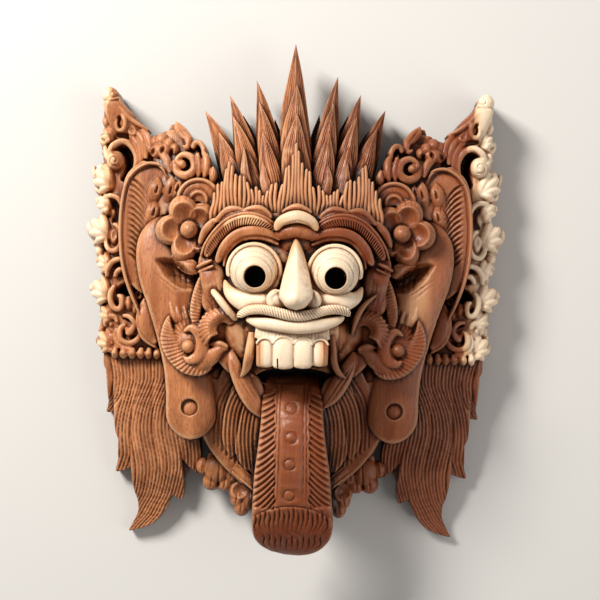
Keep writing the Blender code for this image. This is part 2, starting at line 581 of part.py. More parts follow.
def main():
    for old in list(bpy.data.objects):
        bpy.data.objects.remove(old)
    scene = bpy.context.scene
    mask_collection = bpy.data.collections.new("witch_mask")
    tools = bpy.data.collections.new("cutters")
    for collection in (mask_collection, tools):
        scene.collection.children.link(collection)

    make_ground()
    make_crown()
    make_fringe()
    make_brows()
    make_eyes()
    make_nose()
    make_mouth()
    make_tongue()
    make_beard()
    make_hair_falls()
    make_ears()
    make_flowers()
    make_jaw_curls()
    make_wings()
    make_shoulder_leaves()

    joined = bmesh.new()
    for piece in pieces:
        joined.from_mesh(piece.data)
    block = bpy.data.meshes.new("mask")
    joined.to_mesh(block)
    joined.free()
    for piece in pieces:
        bpy.data.objects.remove(piece)
    for cutter in make_cutters():
        cutter.hide_render = True
        cutter.display_type = "WIRE"
        tools.objects.link(cutter)

    mask = bpy.data.objects.new("mask", block)
    mask_collection.objects.link(mask)
    join = mask.modifiers.new("join", "REMESH")
    join.mode = "VOXEL"
    join.voxel_size = MASK_HEIGHT * CARVING_GRAIN
    facets = mask.modifiers.new("facets", "DECIMATE")
    facets.ratio = CARVED_FACES / joined_triangles(mask, facets)
    take_out(mask, tools)
    mesh = bpy.data.meshes.new_from_object(mask.evaluated_get(bpy.context.evaluated_depsgraph_get()))
    mask.modifiers.clear()
    mask.data = mesh

    shaper = bmesh.new()
    shaper.from_mesh(mesh)
    bmesh.ops.triangulate(shaper, faces=shaper.faces)
    bmesh.ops.remove_doubles(shaper, verts=shaper.verts, dist=WELD)
    bmesh.ops.dissolve_degenerate(shaper, dist=WELD, edges=shaper.edges)
    bmesh.ops.triangulate(shaper, faces=shaper.faces)
    lows = [min(vertex.co[axis] for vertex in shaper.verts) for axis in range(3)]
    highs = [max(vertex.co[axis] for vertex in shaper.verts) for axis in range(3)]
    centre = Vector(((lows[0] + highs[0]) / 2, (lows[1] + highs[1]) / 2, lows[2]))
    for vertex in shaper.verts:
        vertex.co -= centre
    shaper.to_mesh(mesh)
    shaper.free()

    wood = bpy.data.materials.new("heartwood")
    wood.use_nodes = True
    surface = wood.node_tree.nodes["Principled BSDF"]
    surface.inputs["Base Color"].default_value = HEARTWOOD
    surface.inputs["Roughness"].default_value = HEARTWOOD_ROUGHNESS
    surface.inputs["Metallic"].default_value = 0.0
    mesh.materials.clear()
    mesh.materials.append(wood)

    sides = [round((highs[axis] - lows[axis]) * 1000, 1) for axis in range(3)]
    moved = [round(value * 1000, 2) for value in centre]
    print("mask:", len(mesh.polygons), "triangles,", sides, "mm, moved back by", moved, "mm")


main()
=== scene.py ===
# %% [markdown]
# A carved demon mask, cut from one block of wood that is red-brown inside and pale near the bark.
# It lies on its flat hollow back and looks straight up. This lesson builds its fine carving over
# a plain solid of the same mask, which is loaded first and gives every size.

# %% Load the mask's solid
import math

import bmesh
import bpy
import numpy as np
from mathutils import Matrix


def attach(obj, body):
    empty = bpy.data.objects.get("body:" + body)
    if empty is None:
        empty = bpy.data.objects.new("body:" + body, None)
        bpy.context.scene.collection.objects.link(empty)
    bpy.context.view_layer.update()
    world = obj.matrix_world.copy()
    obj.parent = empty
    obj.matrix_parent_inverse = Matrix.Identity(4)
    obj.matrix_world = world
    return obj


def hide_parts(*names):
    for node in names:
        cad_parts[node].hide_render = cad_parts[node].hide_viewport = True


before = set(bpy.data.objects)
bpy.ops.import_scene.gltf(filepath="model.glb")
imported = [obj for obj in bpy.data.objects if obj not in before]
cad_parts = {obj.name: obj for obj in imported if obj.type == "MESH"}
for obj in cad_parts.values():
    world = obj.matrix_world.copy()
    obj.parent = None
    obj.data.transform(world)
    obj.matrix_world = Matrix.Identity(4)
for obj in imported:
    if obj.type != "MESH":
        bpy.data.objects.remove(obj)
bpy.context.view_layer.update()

# %% [markdown]
# A carver lays the design out on a board before cutting. The board here is in millimetres, with its
# origin between the eyes and the mouth, X to the right and Y towards the crown. The solid was
# centred on its own outline, so the board's origin lies a little off the solid's.

# %% The drawing board
MM = 0.001
BOARD_X = -0.05
BOARD_Y = 0.28
SIDES = ((1, "right"), (-1, "left"))


def at(x, y, z):
    """A place on the board as a point in metres."""
    return ((x + BOARD_X) * MM, (y + BOARD_Y) * MM, z * MM)


# %% [markdown]
# Nearly everything on the mask is a strand: a lock of hair, a leaf, a lip or a rib, long and narrow,
# with a rounded back and its foot sunk in the wood below. The carver draws its line first, so each
# has a route here: a few places, joined by a smooth curve that is measured along its length.

# %% Smooth routes
def smooth(values, shares):
    """Points of a smooth curve through evenly spaced values, shares running from 0 to 1."""
    spans = len(values) - 1
    place = np.clip(shares, 0, 1) * spans
    start = np.minimum(place.astype(int), spans - 1)
    step = (place - start)[:, None]
    before = values[np.maximum(start - 1, 0)]
    first = values[start]
    second = values[start + 1]
    after = values[np.minimum(start + 2, spans)]
    bend = (second - before) * 0.5
    next_bend = (after - first) * 0.5
    rise = second - first
    return (first + bend * step + (rise * 3 - bend * 2 - next_bend) * step ** 2
            + (bend + next_bend - rise * 2) * step ** 3)


def follow(route, step):
    """Places every step millimetres along a route, the way it runs there, and its length."""
    dense = smooth(np.array(route, float), np.linspace(0, 1, 30 * len(route)))
    gaps = np.linalg.norm(np.diff(dense[:, :2], axis=0), axis=1)
    distance = np.concatenate(([0], np.cumsum(gaps)))
    count = max(4, int(round(distance[-1] / step)) + 1)
    stops = np.linspace(0, distance[-1], count)
    places = np.stack([np.interp(stops, distance, dense[:, column])
                       for column in range(dense.shape[1])], axis=1)
    ahead = np.gradient(places[:, :2], axis=0)
    ahead /= np.linalg.norm(ahead, axis=1)[:, None]
    return places, ahead, stops


print("the board's origin:", at(0, 0, 0), "metres")

# %% [markdown]
# A strand starts as a UV sphere. Its rings are carried along the route and take the strand's section
# there, so both ends stay closed. A carve function takes wood away from its back, for notches and
# grooves. Most strands have two round ends, and broad slabs with cut ends fill the ground.

# %% Strands
sphere_meshes = {}
loose = []


def coordinates(mesh):
    """A mesh's points, one in each row."""
    co = np.empty(len(mesh.vertices) * 3)
    mesh.vertices.foreach_get("co", co)
    return co.reshape(-1, 3)


def sphere_mesh(segments, rings):
    """A UV sphere's mesh, made once for each size, with each point's ring and turn."""
    key = (segments, rings)
    if key not in sphere_meshes:
        bpy.ops.mesh.primitive_uv_sphere_add(segments=segments, ring_count=rings + 1, radius=1)
        sphere = bpy.context.object
        co = coordinates(sphere.data)
        ring = np.rint(np.arccos(np.clip(co[:, 2], -1, 1)) / math.pi * (rings + 1)).astype(int) - 1
        turn = np.rint(np.arctan2(co[:, 1], co[:, 0]) / (2 * math.pi) * segments).astype(int) % segments
        sphere_meshes[key] = (sphere.data, ring, turn)
        bpy.data.objects.remove(sphere)
    return sphere_meshes[key]


def lay_out(name, template, co):
    """Lay a copy of a sphere's mesh out on the board, each point at its place in millimetres."""
    mesh = template.copy()
    co[:, 0] = (co[:, 0] + BOARD_X) * MM
    co[:, 1] = (co[:, 1] + BOARD_Y) * MM
    co[:, 2] *= MM
    mesh.vertices.foreach_set("co", co.ravel())
    piece = bpy.data.objects.new(name, mesh)
    bpy.context.scene.collection.objects.link(piece)
    loose.append(piece)


def strand(route, foot=None, depth=8, fullness=2.0, dome=0.5, across=0.55, step=0.8, carve=None,
           tip="point", root="flat", side=1, blunt=0.5):
    """A carved strand along a route of (x, y, top, width) places, in millimetres.

    It stands down to foot, or to depth below its top. Its back bulges by dome times its width, and
    fullness 1 makes that a ridge, 2 round and 4 nearly square. Its ends are pointed, flat or round.
    """
    places, ahead, stops = follow(route, step)
    places[:, 0] *= side
    ahead[:, 0] *= side
    length = stops[-1]
    widths = np.maximum(places[:, 3].copy(), 0.02)
    for end_shape, from_end in ((tip, length - stops), (root, stops)):
        if end_shape == "round":
            reach = np.clip(from_end / (widths.max() * blunt), 0, 1)
            widths *= np.sqrt(1 - (1 - reach) ** 2) * 0.97 + 0.03
    rings = len(places)
    back_points = max(5, int(round(widths.max() / across)) + 1)
    share = np.linspace(-1, 1, back_points)
    out = 0.5 * share - 0.5 * np.cos(math.pi * (share + 1) / 2)
    up = np.maximum(1 - np.abs(out) ** fullness, 0) ** (1 / fullness)
    bulge = np.minimum(widths * dome, depth)
    tops = places[:, 2]
    feet = np.full(rings, float(foot)) if foot is not None else tops - depth
    feet = np.minimum(feet, tops - bulge - 0.2)
    offset = np.concatenate(([-1], out, [1]))
    reach = offset[None, :] * widths[:, None] / 2
    x = places[:, 0, None] - ahead[:, 1, None] * reach
    y = places[:, 1, None] + ahead[:, 0, None] * reach
    z = np.empty((rings, back_points + 2))
    z[:, 0] = feet
    z[:, -1] = feet
    z[:, 1:-1] = (tops - bulge)[:, None] + bulge[:, None] * up[None, :]
    if carve is not None:
        back = z[:, 1:-1]
        across_back = np.broadcast_to(out[None, :], back.shape)
        along_mm = np.broadcast_to(stops[:, None], back.shape)
        back -= carve(across_back * side, along_mm, length)
    points = np.stack([x, y, z], axis=-1)
    if tip == "point":
        end = np.array([places[-1, 0], places[-1, 1], tops[-1] - bulge[-1] * 0.5 - 0.1])
        body = points[:-1]
    else:
        end = points[-1].mean(axis=0)
        body = points
    start = points[0].mean(axis=0)
    if root == "point":
        start = np.array([places[0, 0], places[0, 1], tops[0] - bulge[0] * 0.5 - 0.1])
        body = body[1:]
    rings = len(body)
    template, ring, turn = sphere_mesh(back_points + 2, rings)
    co = body[np.clip(ring, 0, rings - 1), turn]
    co[ring < 0] = start
    co[ring >= rings] = end
    lay_out("strand", template, co)


def pair(route, **more):
    """The same strand on the right side and, mirrored, on the left."""
    for side, _ in SIDES:
        strand(route, side=side, **more)


def band(route, **more):
    """A strand with two round ends."""
    strand(route, tip="round", root="round", **more)


def slab(route, **more):
    """A broad flat strand with cut ends, which fills the ground behind the carving."""
    strand(route, fullness=4, tip="flat", **more)


# %% [markdown]
# Knobs, petals, eyeballs and the head itself are round lumps: spheres stretched along each axis.

# %% Lumps, arcs and scrolls
SCROLL_PLACES = 12


def lump(x, y, z, across, up, deep, turn=0.0, segments=32, rings=20, carve=None):
    """A rounded lump with its own half-sizes in millimetres, turned in the board's plane."""
    template, ring, place = sphere_mesh(segments, rings)
    angle = (ring + 1) * math.pi / (rings + 1)
    round_angle = place * 2 * math.pi / segments
    east = np.sin(angle) * np.cos(round_angle) * across
    north = np.sin(angle) * np.sin(round_angle) * up
    high = np.cos(angle) * deep
    if carve is not None:
        high = high - carve(east / across, north / up)
    lay_out("lump", template, np.stack([x + east * math.cos(turn) - north * math.sin(turn),
                                        y + east * math.sin(turn) + north * math.cos(turn),
                                        z + high], axis=1))


def lump_pair(x, *rest, **more):
    """The same lump on both sides."""
    lump(x, *rest, **more)
    lump(-x, *rest, **more)


def arc(x, y, radius, start, end, count, third, width):
    """Places on an arc round a centre, angles in degrees, each with its top or depth and its width."""
    route = []
    for index in range(count):
        angle = math.radians(start + (end - start) * index / (count - 1))
        route.append((x + radius * math.cos(angle), y + radius * math.sin(angle), third, width))
    return route


def scroll(x, y, outer, inner, start, turns, deep, width):
    """Places for a gouge on a spiral that winds in to its centre."""
    route = []
    for index in range(SCROLL_PLACES):
        share = index / (SCROLL_PLACES - 1)
        angle = math.radians(start + 360 * turns * share)
        radius = outer + (inner - outer) * share
        route.append((x + radius * math.cos(angle), y + radius * math.sin(angle), deep, width))
    return route


def notched(pitch, deep, slant=0.0, fade=0.0):
    """A carve function: notches across a strand, this far apart, leaning by slant."""
    def carve(out, distance, length):
        notches = 1 - np.abs(np.sin(math.pi * (distance + slant * out) / pitch))
        ends = np.clip(np.minimum(distance, length - distance) / max(fade, 0.01), 0, 1)
        return deep * notches * ends
    return carve


# %% [markdown]
# Each region's strands and lumps are joined into one piece. A voxel remesh melts them together as if
# cut from one block, with every overlap gone, and a light smoothing takes off the voxel steps.
# Blender lists a UV sphere's faces in another order each run, so what isn't melted is put in order,
# and every later step gives the same result again.

# %% Gather a region into one piece
pieces = []


def select_only(chosen):
    """Select these objects and nothing else."""
    bpy.ops.object.select_all(action="DESELECT")
    for item in chosen:
        item.select_set(True)
    bpy.context.view_layer.objects.active = chosen[0]


def apply_modifier(piece, kind, **settings):
    """Add a modifier with these settings and apply it."""
    select_only([piece])
    bpy.ops.object.modifier_add(type=kind)
    modifier = piece.modifiers[-1]
    for name, value in settings.items():
        setattr(modifier, name, value)
    bpy.ops.object.modifier_apply(modifier=modifier.name)


def in_order(mesh):
    """List a mesh's edges and faces by their lowest points."""
    count = len(mesh.vertices)

    def rank(part):
        """A number that no other edge or face has."""
        number = 0
        for index in sorted(vert.index for vert in part.verts)[:3]:
            number = number * count + index
        return number

    shape = bmesh.new()
    shape.from_mesh(mesh)
    shape.edges.sort(key=rank)
    shape.faces.sort(key=rank)
    shape.to_mesh(mesh)
    shape.free()
    ends = np.empty(len(mesh.edges) * 2, dtype=np.int32)
    mesh.edges.foreach_get("vertices", ends)
    mesh.edges.foreach_set("vertices", np.sort(ends.reshape(-1, 2)).ravel())
    mesh.update()


def gather(name, grain=0.55, soften=2, bark=0.0, dark=0.0):
    """Join the loose strands and lumps into one carved piece.

    They are melted at a voxel of grain millimetres, or left as they are where it is 0. A higher bark
    moves the piece towards the pale wood. A higher dark makes its brown deeper and one below 0 makes
    it lighter, partly as painted shade and painted light, partly as a darker tone of the wood.
    """
    select_only(loose)
    bpy.ops.object.join()
    piece = bpy.context.object
    piece.name = name
    piece.data.name = name
    loose.clear()
    if grain:
        apply_modifier(piece, "REMESH", mode="VOXEL", voxel_size=grain * MM)
        apply_modifier(piece, "SMOOTH", factor=0.5, iterations=soften)
    else:
        in_order(piece.data)
    select_only([piece])
    bpy.ops.object.shade_smooth()
    piece["bark"] = bark
    piece["dark"] = dark
    pieces.append(piece)
    print(name, sum(len(face.vertices) - 2 for face in piece.data.polygons), "triangles")
    return piece


# %% [markdown]
# The ground is the block itself: the dome of the head, the face that stands out from it, and flat
# panels behind the ears, the hair and the chin. The carver hollows it from behind so that it is
# light and doesn't split, so a cutter of the same form, one wall smaller, is taken out of it.

# %% The ground
HOLLOW_WALL = 13.0
EYE_X = 22.0
EYE_Y = 14.2
EYE_Z = 84.3
PUPIL_Y = 10.7
PUPIL_RADIUS = 5.6
MOUTH_X = 1.0
MOUTH_Y = -45.0


def cut(piece, cutters):
    """Take the cutters out of a piece."""
    for cutter in cutters:
        apply_modifier(piece, "BOOLEAN", operation="DIFFERENCE", object=cutter, solver="MANIFOLD")
        bpy.data.objects.remove(cutter)


def shaped(scale, turn=0.0):
    """The primitive that was just added, scaled and turned in its mesh."""
    tool = bpy.context.object
    tool.scale = scale
    tool.rotation_euler[2] = turn
    select_only([tool])
    bpy.ops.object.transform_apply(location=True, rotation=True, scale=True)
    return tool


def drill(x, y, radius, low, high, stretch=1.0):
    """A round cutter along Z, in millimetres."""
    bpy.ops.mesh.primitive_cylinder_add(vertices=64, radius=radius * MM, depth=(high - low) * MM,
                                        location=at(x, y, (low + high) / 2))
    return shaped((stretch, 1, 1))


CUT_CELL = 0.25
CUT_COLUMNS = 1120
CUT_ROWS = 1320
FACING_UP = 0.15
LEAST_WOOD = 1.5


def gouge(piece, routes, steep=1.0, side=1):
    """Draw a gouge over a piece along routes of (x, y, depth, width) places, in millimetres.

    It cuts a V, or a trough with walls as steep as asked for, and leaves some wood above the back.
    """
    field = np.zeros((CUT_COLUMNS, CUT_ROWS))
    for route in routes:
        places, _, _ = follow(route, 0.2)
        places[:, 0] *= side
        for x, y, deep, width in places:
            reach = int(math.ceil(width / 2 / CUT_CELL)) + 1
            column = int(x / CUT_CELL + CUT_COLUMNS / 2)
            row = int(y / CUT_CELL + CUT_ROWS / 2)
            cells = np.arange(-reach, reach + 1)
            east = (cells + column + 0.5 - CUT_COLUMNS / 2) * CUT_CELL - x
            north = (cells + row + 0.5 - CUT_ROWS / 2) * CUT_CELL - y
            distance = np.hypot(east[:, None], north[None, :])
            stamp = deep * np.clip((1 - distance / (width / 2)) * steep, 0, 1)
            patch = field[column - reach:column + reach + 1, row - reach:row + reach + 1]
            np.maximum(patch, stamp, out=patch)
    co = coordinates(piece.data)
    across = (co[:, 0] / MM - BOARD_X) / CUT_CELL + CUT_COLUMNS / 2
    upward = (co[:, 1] / MM - BOARD_Y) / CUT_CELL + CUT_ROWS / 2
    depth = field[np.clip(across.astype(int), 0, CUT_COLUMNS - 1),
                  np.clip(upward.astype(int), 0, CUT_ROWS - 1)]
    normals = np.empty(len(piece.data.vertices) * 3)
    piece.data.vertex_normals.foreach_get("vector", normals)
    facing = normals.reshape(-1, 3)[:, 2] > FACING_UP
    co[:, 2] = np.maximum(co[:, 2] - depth * facing * MM, np.minimum(co[:, 2], LEAST_WOOD * MM))
    piece.data.vertices.foreach_set("co", co.ravel())
    piece.data.update()


def both(routes):
    """The same gouge routes on the right side and, mirrored, on the left."""
    return [[(side * x, y, deep, width) for x, y, deep, width in route]
            for side, _ in SIDES for route in routes]


HEAD = (72, 80, 62)
lump(0, 2, 0, *HEAD, segments=96, rings=64)
lump(0, -4, 28, 56, 56, 50, segments=96, rings=64)
lump(0.6, 22, 30, 59, 34, 46, segments=96, rings=64)
lump(1, -18, 62, 30, 22, 28, segments=64, rings=40)
PANELS = (
    ((104, 106, 16, 8), (102, 84, 18, 24), (97, 60, 20, 34), (95, 30, 20, 36), (94, 0, 20, 36),
     (93, -20, 20, 34), (92, -37, 18, 30)),
    ((73, 96, 28, 10), (71, 84, 32, 26), (66, 70, 38, 34), (60, 50, 42, 40)),
    ((80, -26, 15, 48), (80, -60, 15, 50), (77, -90, 12, 42), (78, -112, 10, 24), (86, -130, 8, 6)),
)
for route, dome in zip(PANELS, (0.08, 0.1, 0.08)):
    for side, _ in SIDES:
        slab(route, foot=-4, dome=dome, across=2, step=3, side=side)
slab(((0, -40, 32, 108), (0, -78, 24, 106), (0, -96, 19, 88), (0, -116, 14, 54), (0, -132, 11, 14)),
     foot=-4, dome=0.05, across=3, step=3)
ground = gather("ground", grain=1.1, soften=3)

bpy.ops.mesh.primitive_uv_sphere_add(segments=96, ring_count=64, radius=1, location=at(0, 2, 0))
hollow = shaped([(half - HOLLOW_WALL) * MM for half in HEAD])
in_order(hollow.data)
bpy.ops.mesh.primitive_cube_add(size=1, location=at(0, 0, -100))
below_floor = shaped((0.4, 0.4, 0.2))
cut(ground, [below_floor, hollow, drill(-EYE_X, PUPIL_Y, PUPIL_RADIUS, 10, 120),
             drill(EYE_X, PUPIL_Y, PUPIL_RADIUS, 10, 120), drill(MOUTH_X, MOUTH_Y, 6, 10, 120, 43 / 12),
             drill(-97.5, 2.5, 5, 6, 60, 1.2), drill(97.5, 4.5, 4.5, 6, 60, 1.1)])
print("ground cut:", len(ground.data.polygons), "faces")

# %% [markdown]
# The crown is rows of pointed leaves, each with a ridge and deep grooves that run to its tip. The
# leaves behind are the longest, and all of them lean outwards.

# %% The crown
ROOT_Y = 52.0
CROWN_LEAVES = (
    # tip x, tip y, root x, top at the root, width
    (-54.6, 108.2, -34.5, 32, 14.5), (-39.7, 116.4, -25, 36, 14.5), (-24.3, 125.2, -13, 38, 15.0),
    (-2.1, 146.0, -0.5, 42, 18.5), (22.6, 128.2, 13.5, 38, 15.0), (36.1, 118.2, 25, 36, 14.5),
    (50.8, 110.0, 35.5, 32, 14.5),
    (-47.4, 97.5, -33, 26, 12.0), (-32.2, 106.0, -20, 28, 12.0), (-13.6, 104.0, -7, 30, 12.0),
    (12.4, 107.0, 7, 30, 12.0), (29.4, 107.0, 19, 28, 12.0), (43.2, 100.5, 31, 26, 12.0),
    (-45.6, 94.4, -34, 40, 13.0), (-37.5, 103.5, -24.5, 44, 13.5), (-22.5, 111.8, -12.5, 46, 14.0),
    (-1.0, 122.1, -0.3, 49, 18.5), (20.6, 112.2, 13, 46, 14.0), (33.9, 105.0, 25, 44, 13.5),
    (45.7, 98.7, 34.5, 40, 13.0),
    (-39.5, 82, -32, 44, 10.0), (-30.8, 86, -24, 49, 11.5), (-20.2, 94, -13, 52, 12.5),
    (-0.6, 104.5, 0, 56, 17.0), (18.3, 94.2, 13.5, 52, 12.5), (29.7, 88.2, 24, 49, 11.5),
    (39.5, 83.5, 32, 44, 10.0),
    (-19.7, 77.6, -16, 56, 6.0), (16.9, 77.8, 16.5, 56, 6.0), (-30.4, 85, -27.4, 54, 5.5),
    (28.6, 78, 26, 54, 5.5),
)


def ridged(out, distance, length):
    """Fine grooves on both sides of a leaf's ridge, which all run to its tip."""
    from_ridge = np.abs(out)
    fade = np.clip((length - distance) / 8, 0, 1)
    grooves = 0
    for place, deep in ((0.15, 0.7), (0.36, 1.1), (0.57, 1.1), (0.78, 0.8)):
        grooves = np.maximum(grooves, deep * np.clip(1 - np.abs(from_ridge - place) / 0.09, 0, 1))
    return grooves * fade


for tip_x, tip_y, root_x, top, width in CROWN_LEAVES:
    rise = tip_y - ROOT_Y
    lean = tip_x - root_x
    sway = 1.1 if tip_x > 0 else -1.1
    strand(((root_x, ROOT_Y, top + 4, width * 0.9),
            (root_x + lean * 0.12, ROOT_Y + rise * 0.3, top + 3.5, width),
            (root_x + lean * 0.32 + sway, ROOT_Y + rise * 0.56, top + 2.0, width * 0.84),
            (root_x + lean * 0.66 + sway * 0.4, ROOT_Y + rise * 0.8, top - 0.5, width * 0.44),
            (tip_x, tip_y, top - 5, 0)),
           depth=20, fullness=1.35, dome=0.4, across=0.3, carve=ridged)
gather("crown", grain=0)

# %% [markdown]
# Below the crown stands the hair line, a comb of flutes that sway a little. Their tips step up and
# down in groups, and each tip leans towards its taller neighbour.

# %% The fringe
FRINGE_TIPS = (
    (-46.6, 57.5), (-44.1, 63.1), (-41.7, 63.7), (-39.7, 72.4), (-37.5, 75.4), (-34.6, 71.1),
    (-32.8, 66.0), (-30.0, 68.2), (-27.2, 64.5), (-25.7, 59.0), (-22.6, 61.2), (-19.2, 58.0),
    (-17.5, 55.2), (-14.8, 62.0), (-12.1, 64.0), (-9.6, 61.2), (-8.5, 71.4), (-5.0, 73.2),
    (-3.7, 77.3), (-2.2, 81.0), (-0.2, 87.2), (2.0, 79.7), (4.0, 73.9), (6.8, 70.3), (8.7, 70.3),
    (10.0, 61.4), (12.3, 62.6), (17.8, 56.0), (20.5, 58.8), (23.3, 60.6), (25.6, 57.4),
    (26.8, 64.0), (29.3, 66.2), (33.2, 65.0), (35.4, 70.9), (38.1, 76.0),
    (41.1, 66.0), (43.3, 65.2), (45.1, 60.5), (47.4, 56.0),
)
FLUTES = 44
tips_x, tips_y = np.array(FRINGE_TIPS).T
for index in range(FLUTES):
    x = -46.6 + 94 * index / (FLUTES - 1)
    tip_y = float(np.interp(x, tips_x, tips_y)) + 0.5
    tip_slope = float(np.interp(x, tips_x, np.gradient(tips_y, tips_x)))
    swing = 0.8 * math.sin(x * 0.31)
    top = 62.5 + 0.0012 * (2200 - x ** 2)
    strand(((x, 38, top - 0.5, 2.3), (x + swing, 46, top, 2.3), (x - swing, (tip_y + 46) / 2, top, 2.3),
            (x + 0.3 * tip_slope, tip_y, top - 1.0, 1.6)),
           foot=40, dome=0.75, across=0.25, tip="round")
# A dark below 0 paints light on the fringe's flutes.
gather("fringe", grain=0, bark=-4, dark=-0.32)

# %% [markdown]
# Over each eye lie bands: petals, a thin rim, a lash band with slanting notches and a plain fold.

# %% Brows
def lashes(out, distance, length):
    """Fine notches across the half of the band that lies by the eye."""
    cutting = 1 - np.abs(np.sin(math.pi * (distance + 0.9 * out) / 1.45))
    inner_half = np.clip((0.45 - out) / 0.2, 0, 1)
    ends = np.clip(np.minimum(distance, length - distance) / 2, 0, 1)
    return 1.7 * cutting * inner_half * ends


# The right brow's higher dark is painted shade.
for side, name, bark, dark in ((1, "right", -8.0, 0.5), (-1, "left", 2.0, 0.15)):
    strand(((11.6, 36.4, 79, 3.4), (18.6, 40.6, 80.5, 5.2), (26.5, 42.0, 80, 5.8),
            (34.6, 39.8, 77.5, 5.8), (41.4, 34.2, 74.5, 5.6), (46.4, 27.8, 71.5, 5.2),
            (49.4, 21.6, 68.5, 3.4)), foot=50,
           fullness=3, dome=0.24, step=0.3, across=0.4, carve=lashes, tip="round", side=side)
    gather("lash_" + name, grain=0, bark=bark, dark=dark)
    strand(((10.4, 39.0, 78, 1.4), (18, 43.8, 80, 1.8), (27, 45.4, 79.5, 2.0), (36.2, 43.0, 77, 2.0),
            (43.8, 36.8, 73.5, 2.0), (49.8, 28.4, 70, 1.8), (52.4, 21.6, 67, 1.2)), foot=50,
           tip="round", side=side)
    strand(((8.2, 31.6, 80, 2), (16, 35.2, 81, 4.4), (25, 36.0, 81.5, 5.2), (33.0, 33.2, 80, 5.2),
            (39.2, 26.6, 77.5, 5.0), (43.0, 18.0, 74, 3.2)), foot=56, fullness=2.4, dome=0.3,
           tip="round", side=side)
    strand(((9, 28.8, 78, 1.6), (16.5, 31.8, 79, 2.4), (25, 32.4, 79, 2.6), (32.2, 29.8, 77.5, 2.4),
            (37.2, 23.8, 75.5, 2.0), (39.2, 16, 73, 1.4)), foot=56, tip="round", side=side)
    band(((13, 43.4, 76, 3), (20.4, 47.8, 77, 5.2), (29.4, 46.8, 76, 2.6)), foot=50, dome=0.25,
         fullness=2.4, side=side)
    band(((28.6, 47, 75, 3), (36.8, 47.0, 74.5, 5.2), (44.8, 40.6, 71, 2.2)), foot=46, dome=0.25,
         fullness=2.4, side=side)
    band(((44, 42.6, 71, 3), (49.8, 36.6, 69, 4.4), (53.6, 28.4, 65, 2)), foot=40, dome=0.35, side=side)
    strand(((46, 19.6, 70, 1.4), (51, 17.4, 69, 2.4), (55, 15.4, 65, 1.4)), foot=44,
           tip="round", side=side)
    strand(((45, 16.6, 70, 1.2), (50, 14.4, 68, 2.2), (54, 12.8, 64, 1.4)), foot=44,
           tip="round", side=side)
    slab(((52, 24, 56, 10), (40, 33, 64, 12), (20, 40, 68, 12), (2, 41, 70, 10)), foot=40,
         dome=0.1, across=1.2, step=2, side=side)
    brow = gather("brow_" + name, grain=0.45, soften=1, bark=bark - 6, dark=dark)
    gouge(brow, [((16, 45.4, 0.7, 0.9), (20.6, 47.2, 0.9, 1.1), (26, 46.8, 0.7, 0.9)),
                 ((32, 46.8, 0.7, 0.9), (37, 45.6, 0.9, 1.1), (41.6, 42, 0.6, 0.9))], side=side)

# %% [markdown]
# Between the brows lies a pale crescent on the forehead's dome, with a small ridge above it.

# %% Forehead
band(((-10.9, 36.0, 83, 3.4), (-7.8, 41.2, 86, 5.6), (0.6, 43.9, 88, 6.8), (8.6, 41.4, 86, 5.6),
      (12.0, 36.4, 83, 3.4)), foot=62, fullness=2.4, dome=0.4)
forehead = gather("forehead", grain=0.45, soften=1, bark=1.0)
gouge(forehead, [((-8.4, 36.4, 0.5, 0.9), (-5.4, 39.6, 0.9, 1.0), (0.8, 41.5, 0.9, 1.0),
                  (6.8, 39.8, 0.9, 1.0), (9.8, 36.6, 0.5, 0.9))])
band(((-12.4, 31.8, 79, 3), (-6.6, 35.0, 82.5, 7.4), (0.6, 36.6, 84, 8.6), (8.0, 35.0, 82.5, 7.4),
      (13.4, 32.0, 79, 3)), foot=56, fullness=2)
lump(0.7, 29.5, 66, 13.0, 9.5, 12.4)
band(((-7.8, 46.6, 79, 1.6), (0.6, 49.4, 82, 4.0), (9.2, 46.6, 79, 1.6)), foot=60)
gather("forehead_dome", grain=0.45, soften=1, bark=-20, dark=0.1)

# %% [markdown]
# The eyes are balls that bulge far out, with a raised iris and a drilled pupil to see through.

# %% Eyes
EYE_RADIUS = 13.3
LOOK_DOWN = math.atan2(EYE_Y - PUPIL_Y, 13.0)
PUPIL_RIM = 6.0
IRIS_RADIUS = 9.4
EYE_GROOVES = ((9.9, 0.6), (12.0, 0.45), (8.0, 0.3))


def eyeball(x):
    """A ball with a raised iris that looks a little down."""
    segments = 160
    rings = 119
    template, ring, place = sphere_mesh(segments, rings)
    angle = (ring + 1) * math.pi / (rings + 1)
    round_angle = place * 2 * math.pi / segments
    spread = EYE_RADIUS * np.sin(angle)
    front = angle < math.pi / 2
    radius = np.full(len(angle), EYE_RADIUS)
    radius += 0.5 * np.clip((IRIS_RADIUS - spread) / 0.5, 0, 1) * front
    for groove, deep in EYE_GROOVES:
        radius -= deep * np.clip(1 - np.abs(spread - groove) / 0.45, 0, 1) * front
    east = radius * np.sin(angle) * np.cos(round_angle)
    north = radius * np.sin(angle) * np.sin(round_angle)
    high = radius * np.cos(angle)
    turned_north = north * math.cos(LOOK_DOWN) - high * math.sin(LOOK_DOWN)
    turned_high = north * math.sin(LOOK_DOWN) + high * math.cos(LOOK_DOWN)
    co = np.stack([x + east, EYE_Y + turned_north, EYE_Z + turned_high], axis=1)
    lay_out("eyeball", template, co)


eyeball(-EYE_X)
eyeball(EYE_X)
eyes = gather("eyes", grain=0)
cut(eyes, [drill(-EYE_X + 0.7, PUPIL_Y, PUPIL_RIM, 40, 120),
           drill(EYE_X + 0.3, PUPIL_Y, PUPIL_RIM, 40, 120)])

# %% [markdown]
# The middle of the face is carved from the palest wood: lids, nose and cheeks, with a plain smiling
# lip under a rope of moustache.

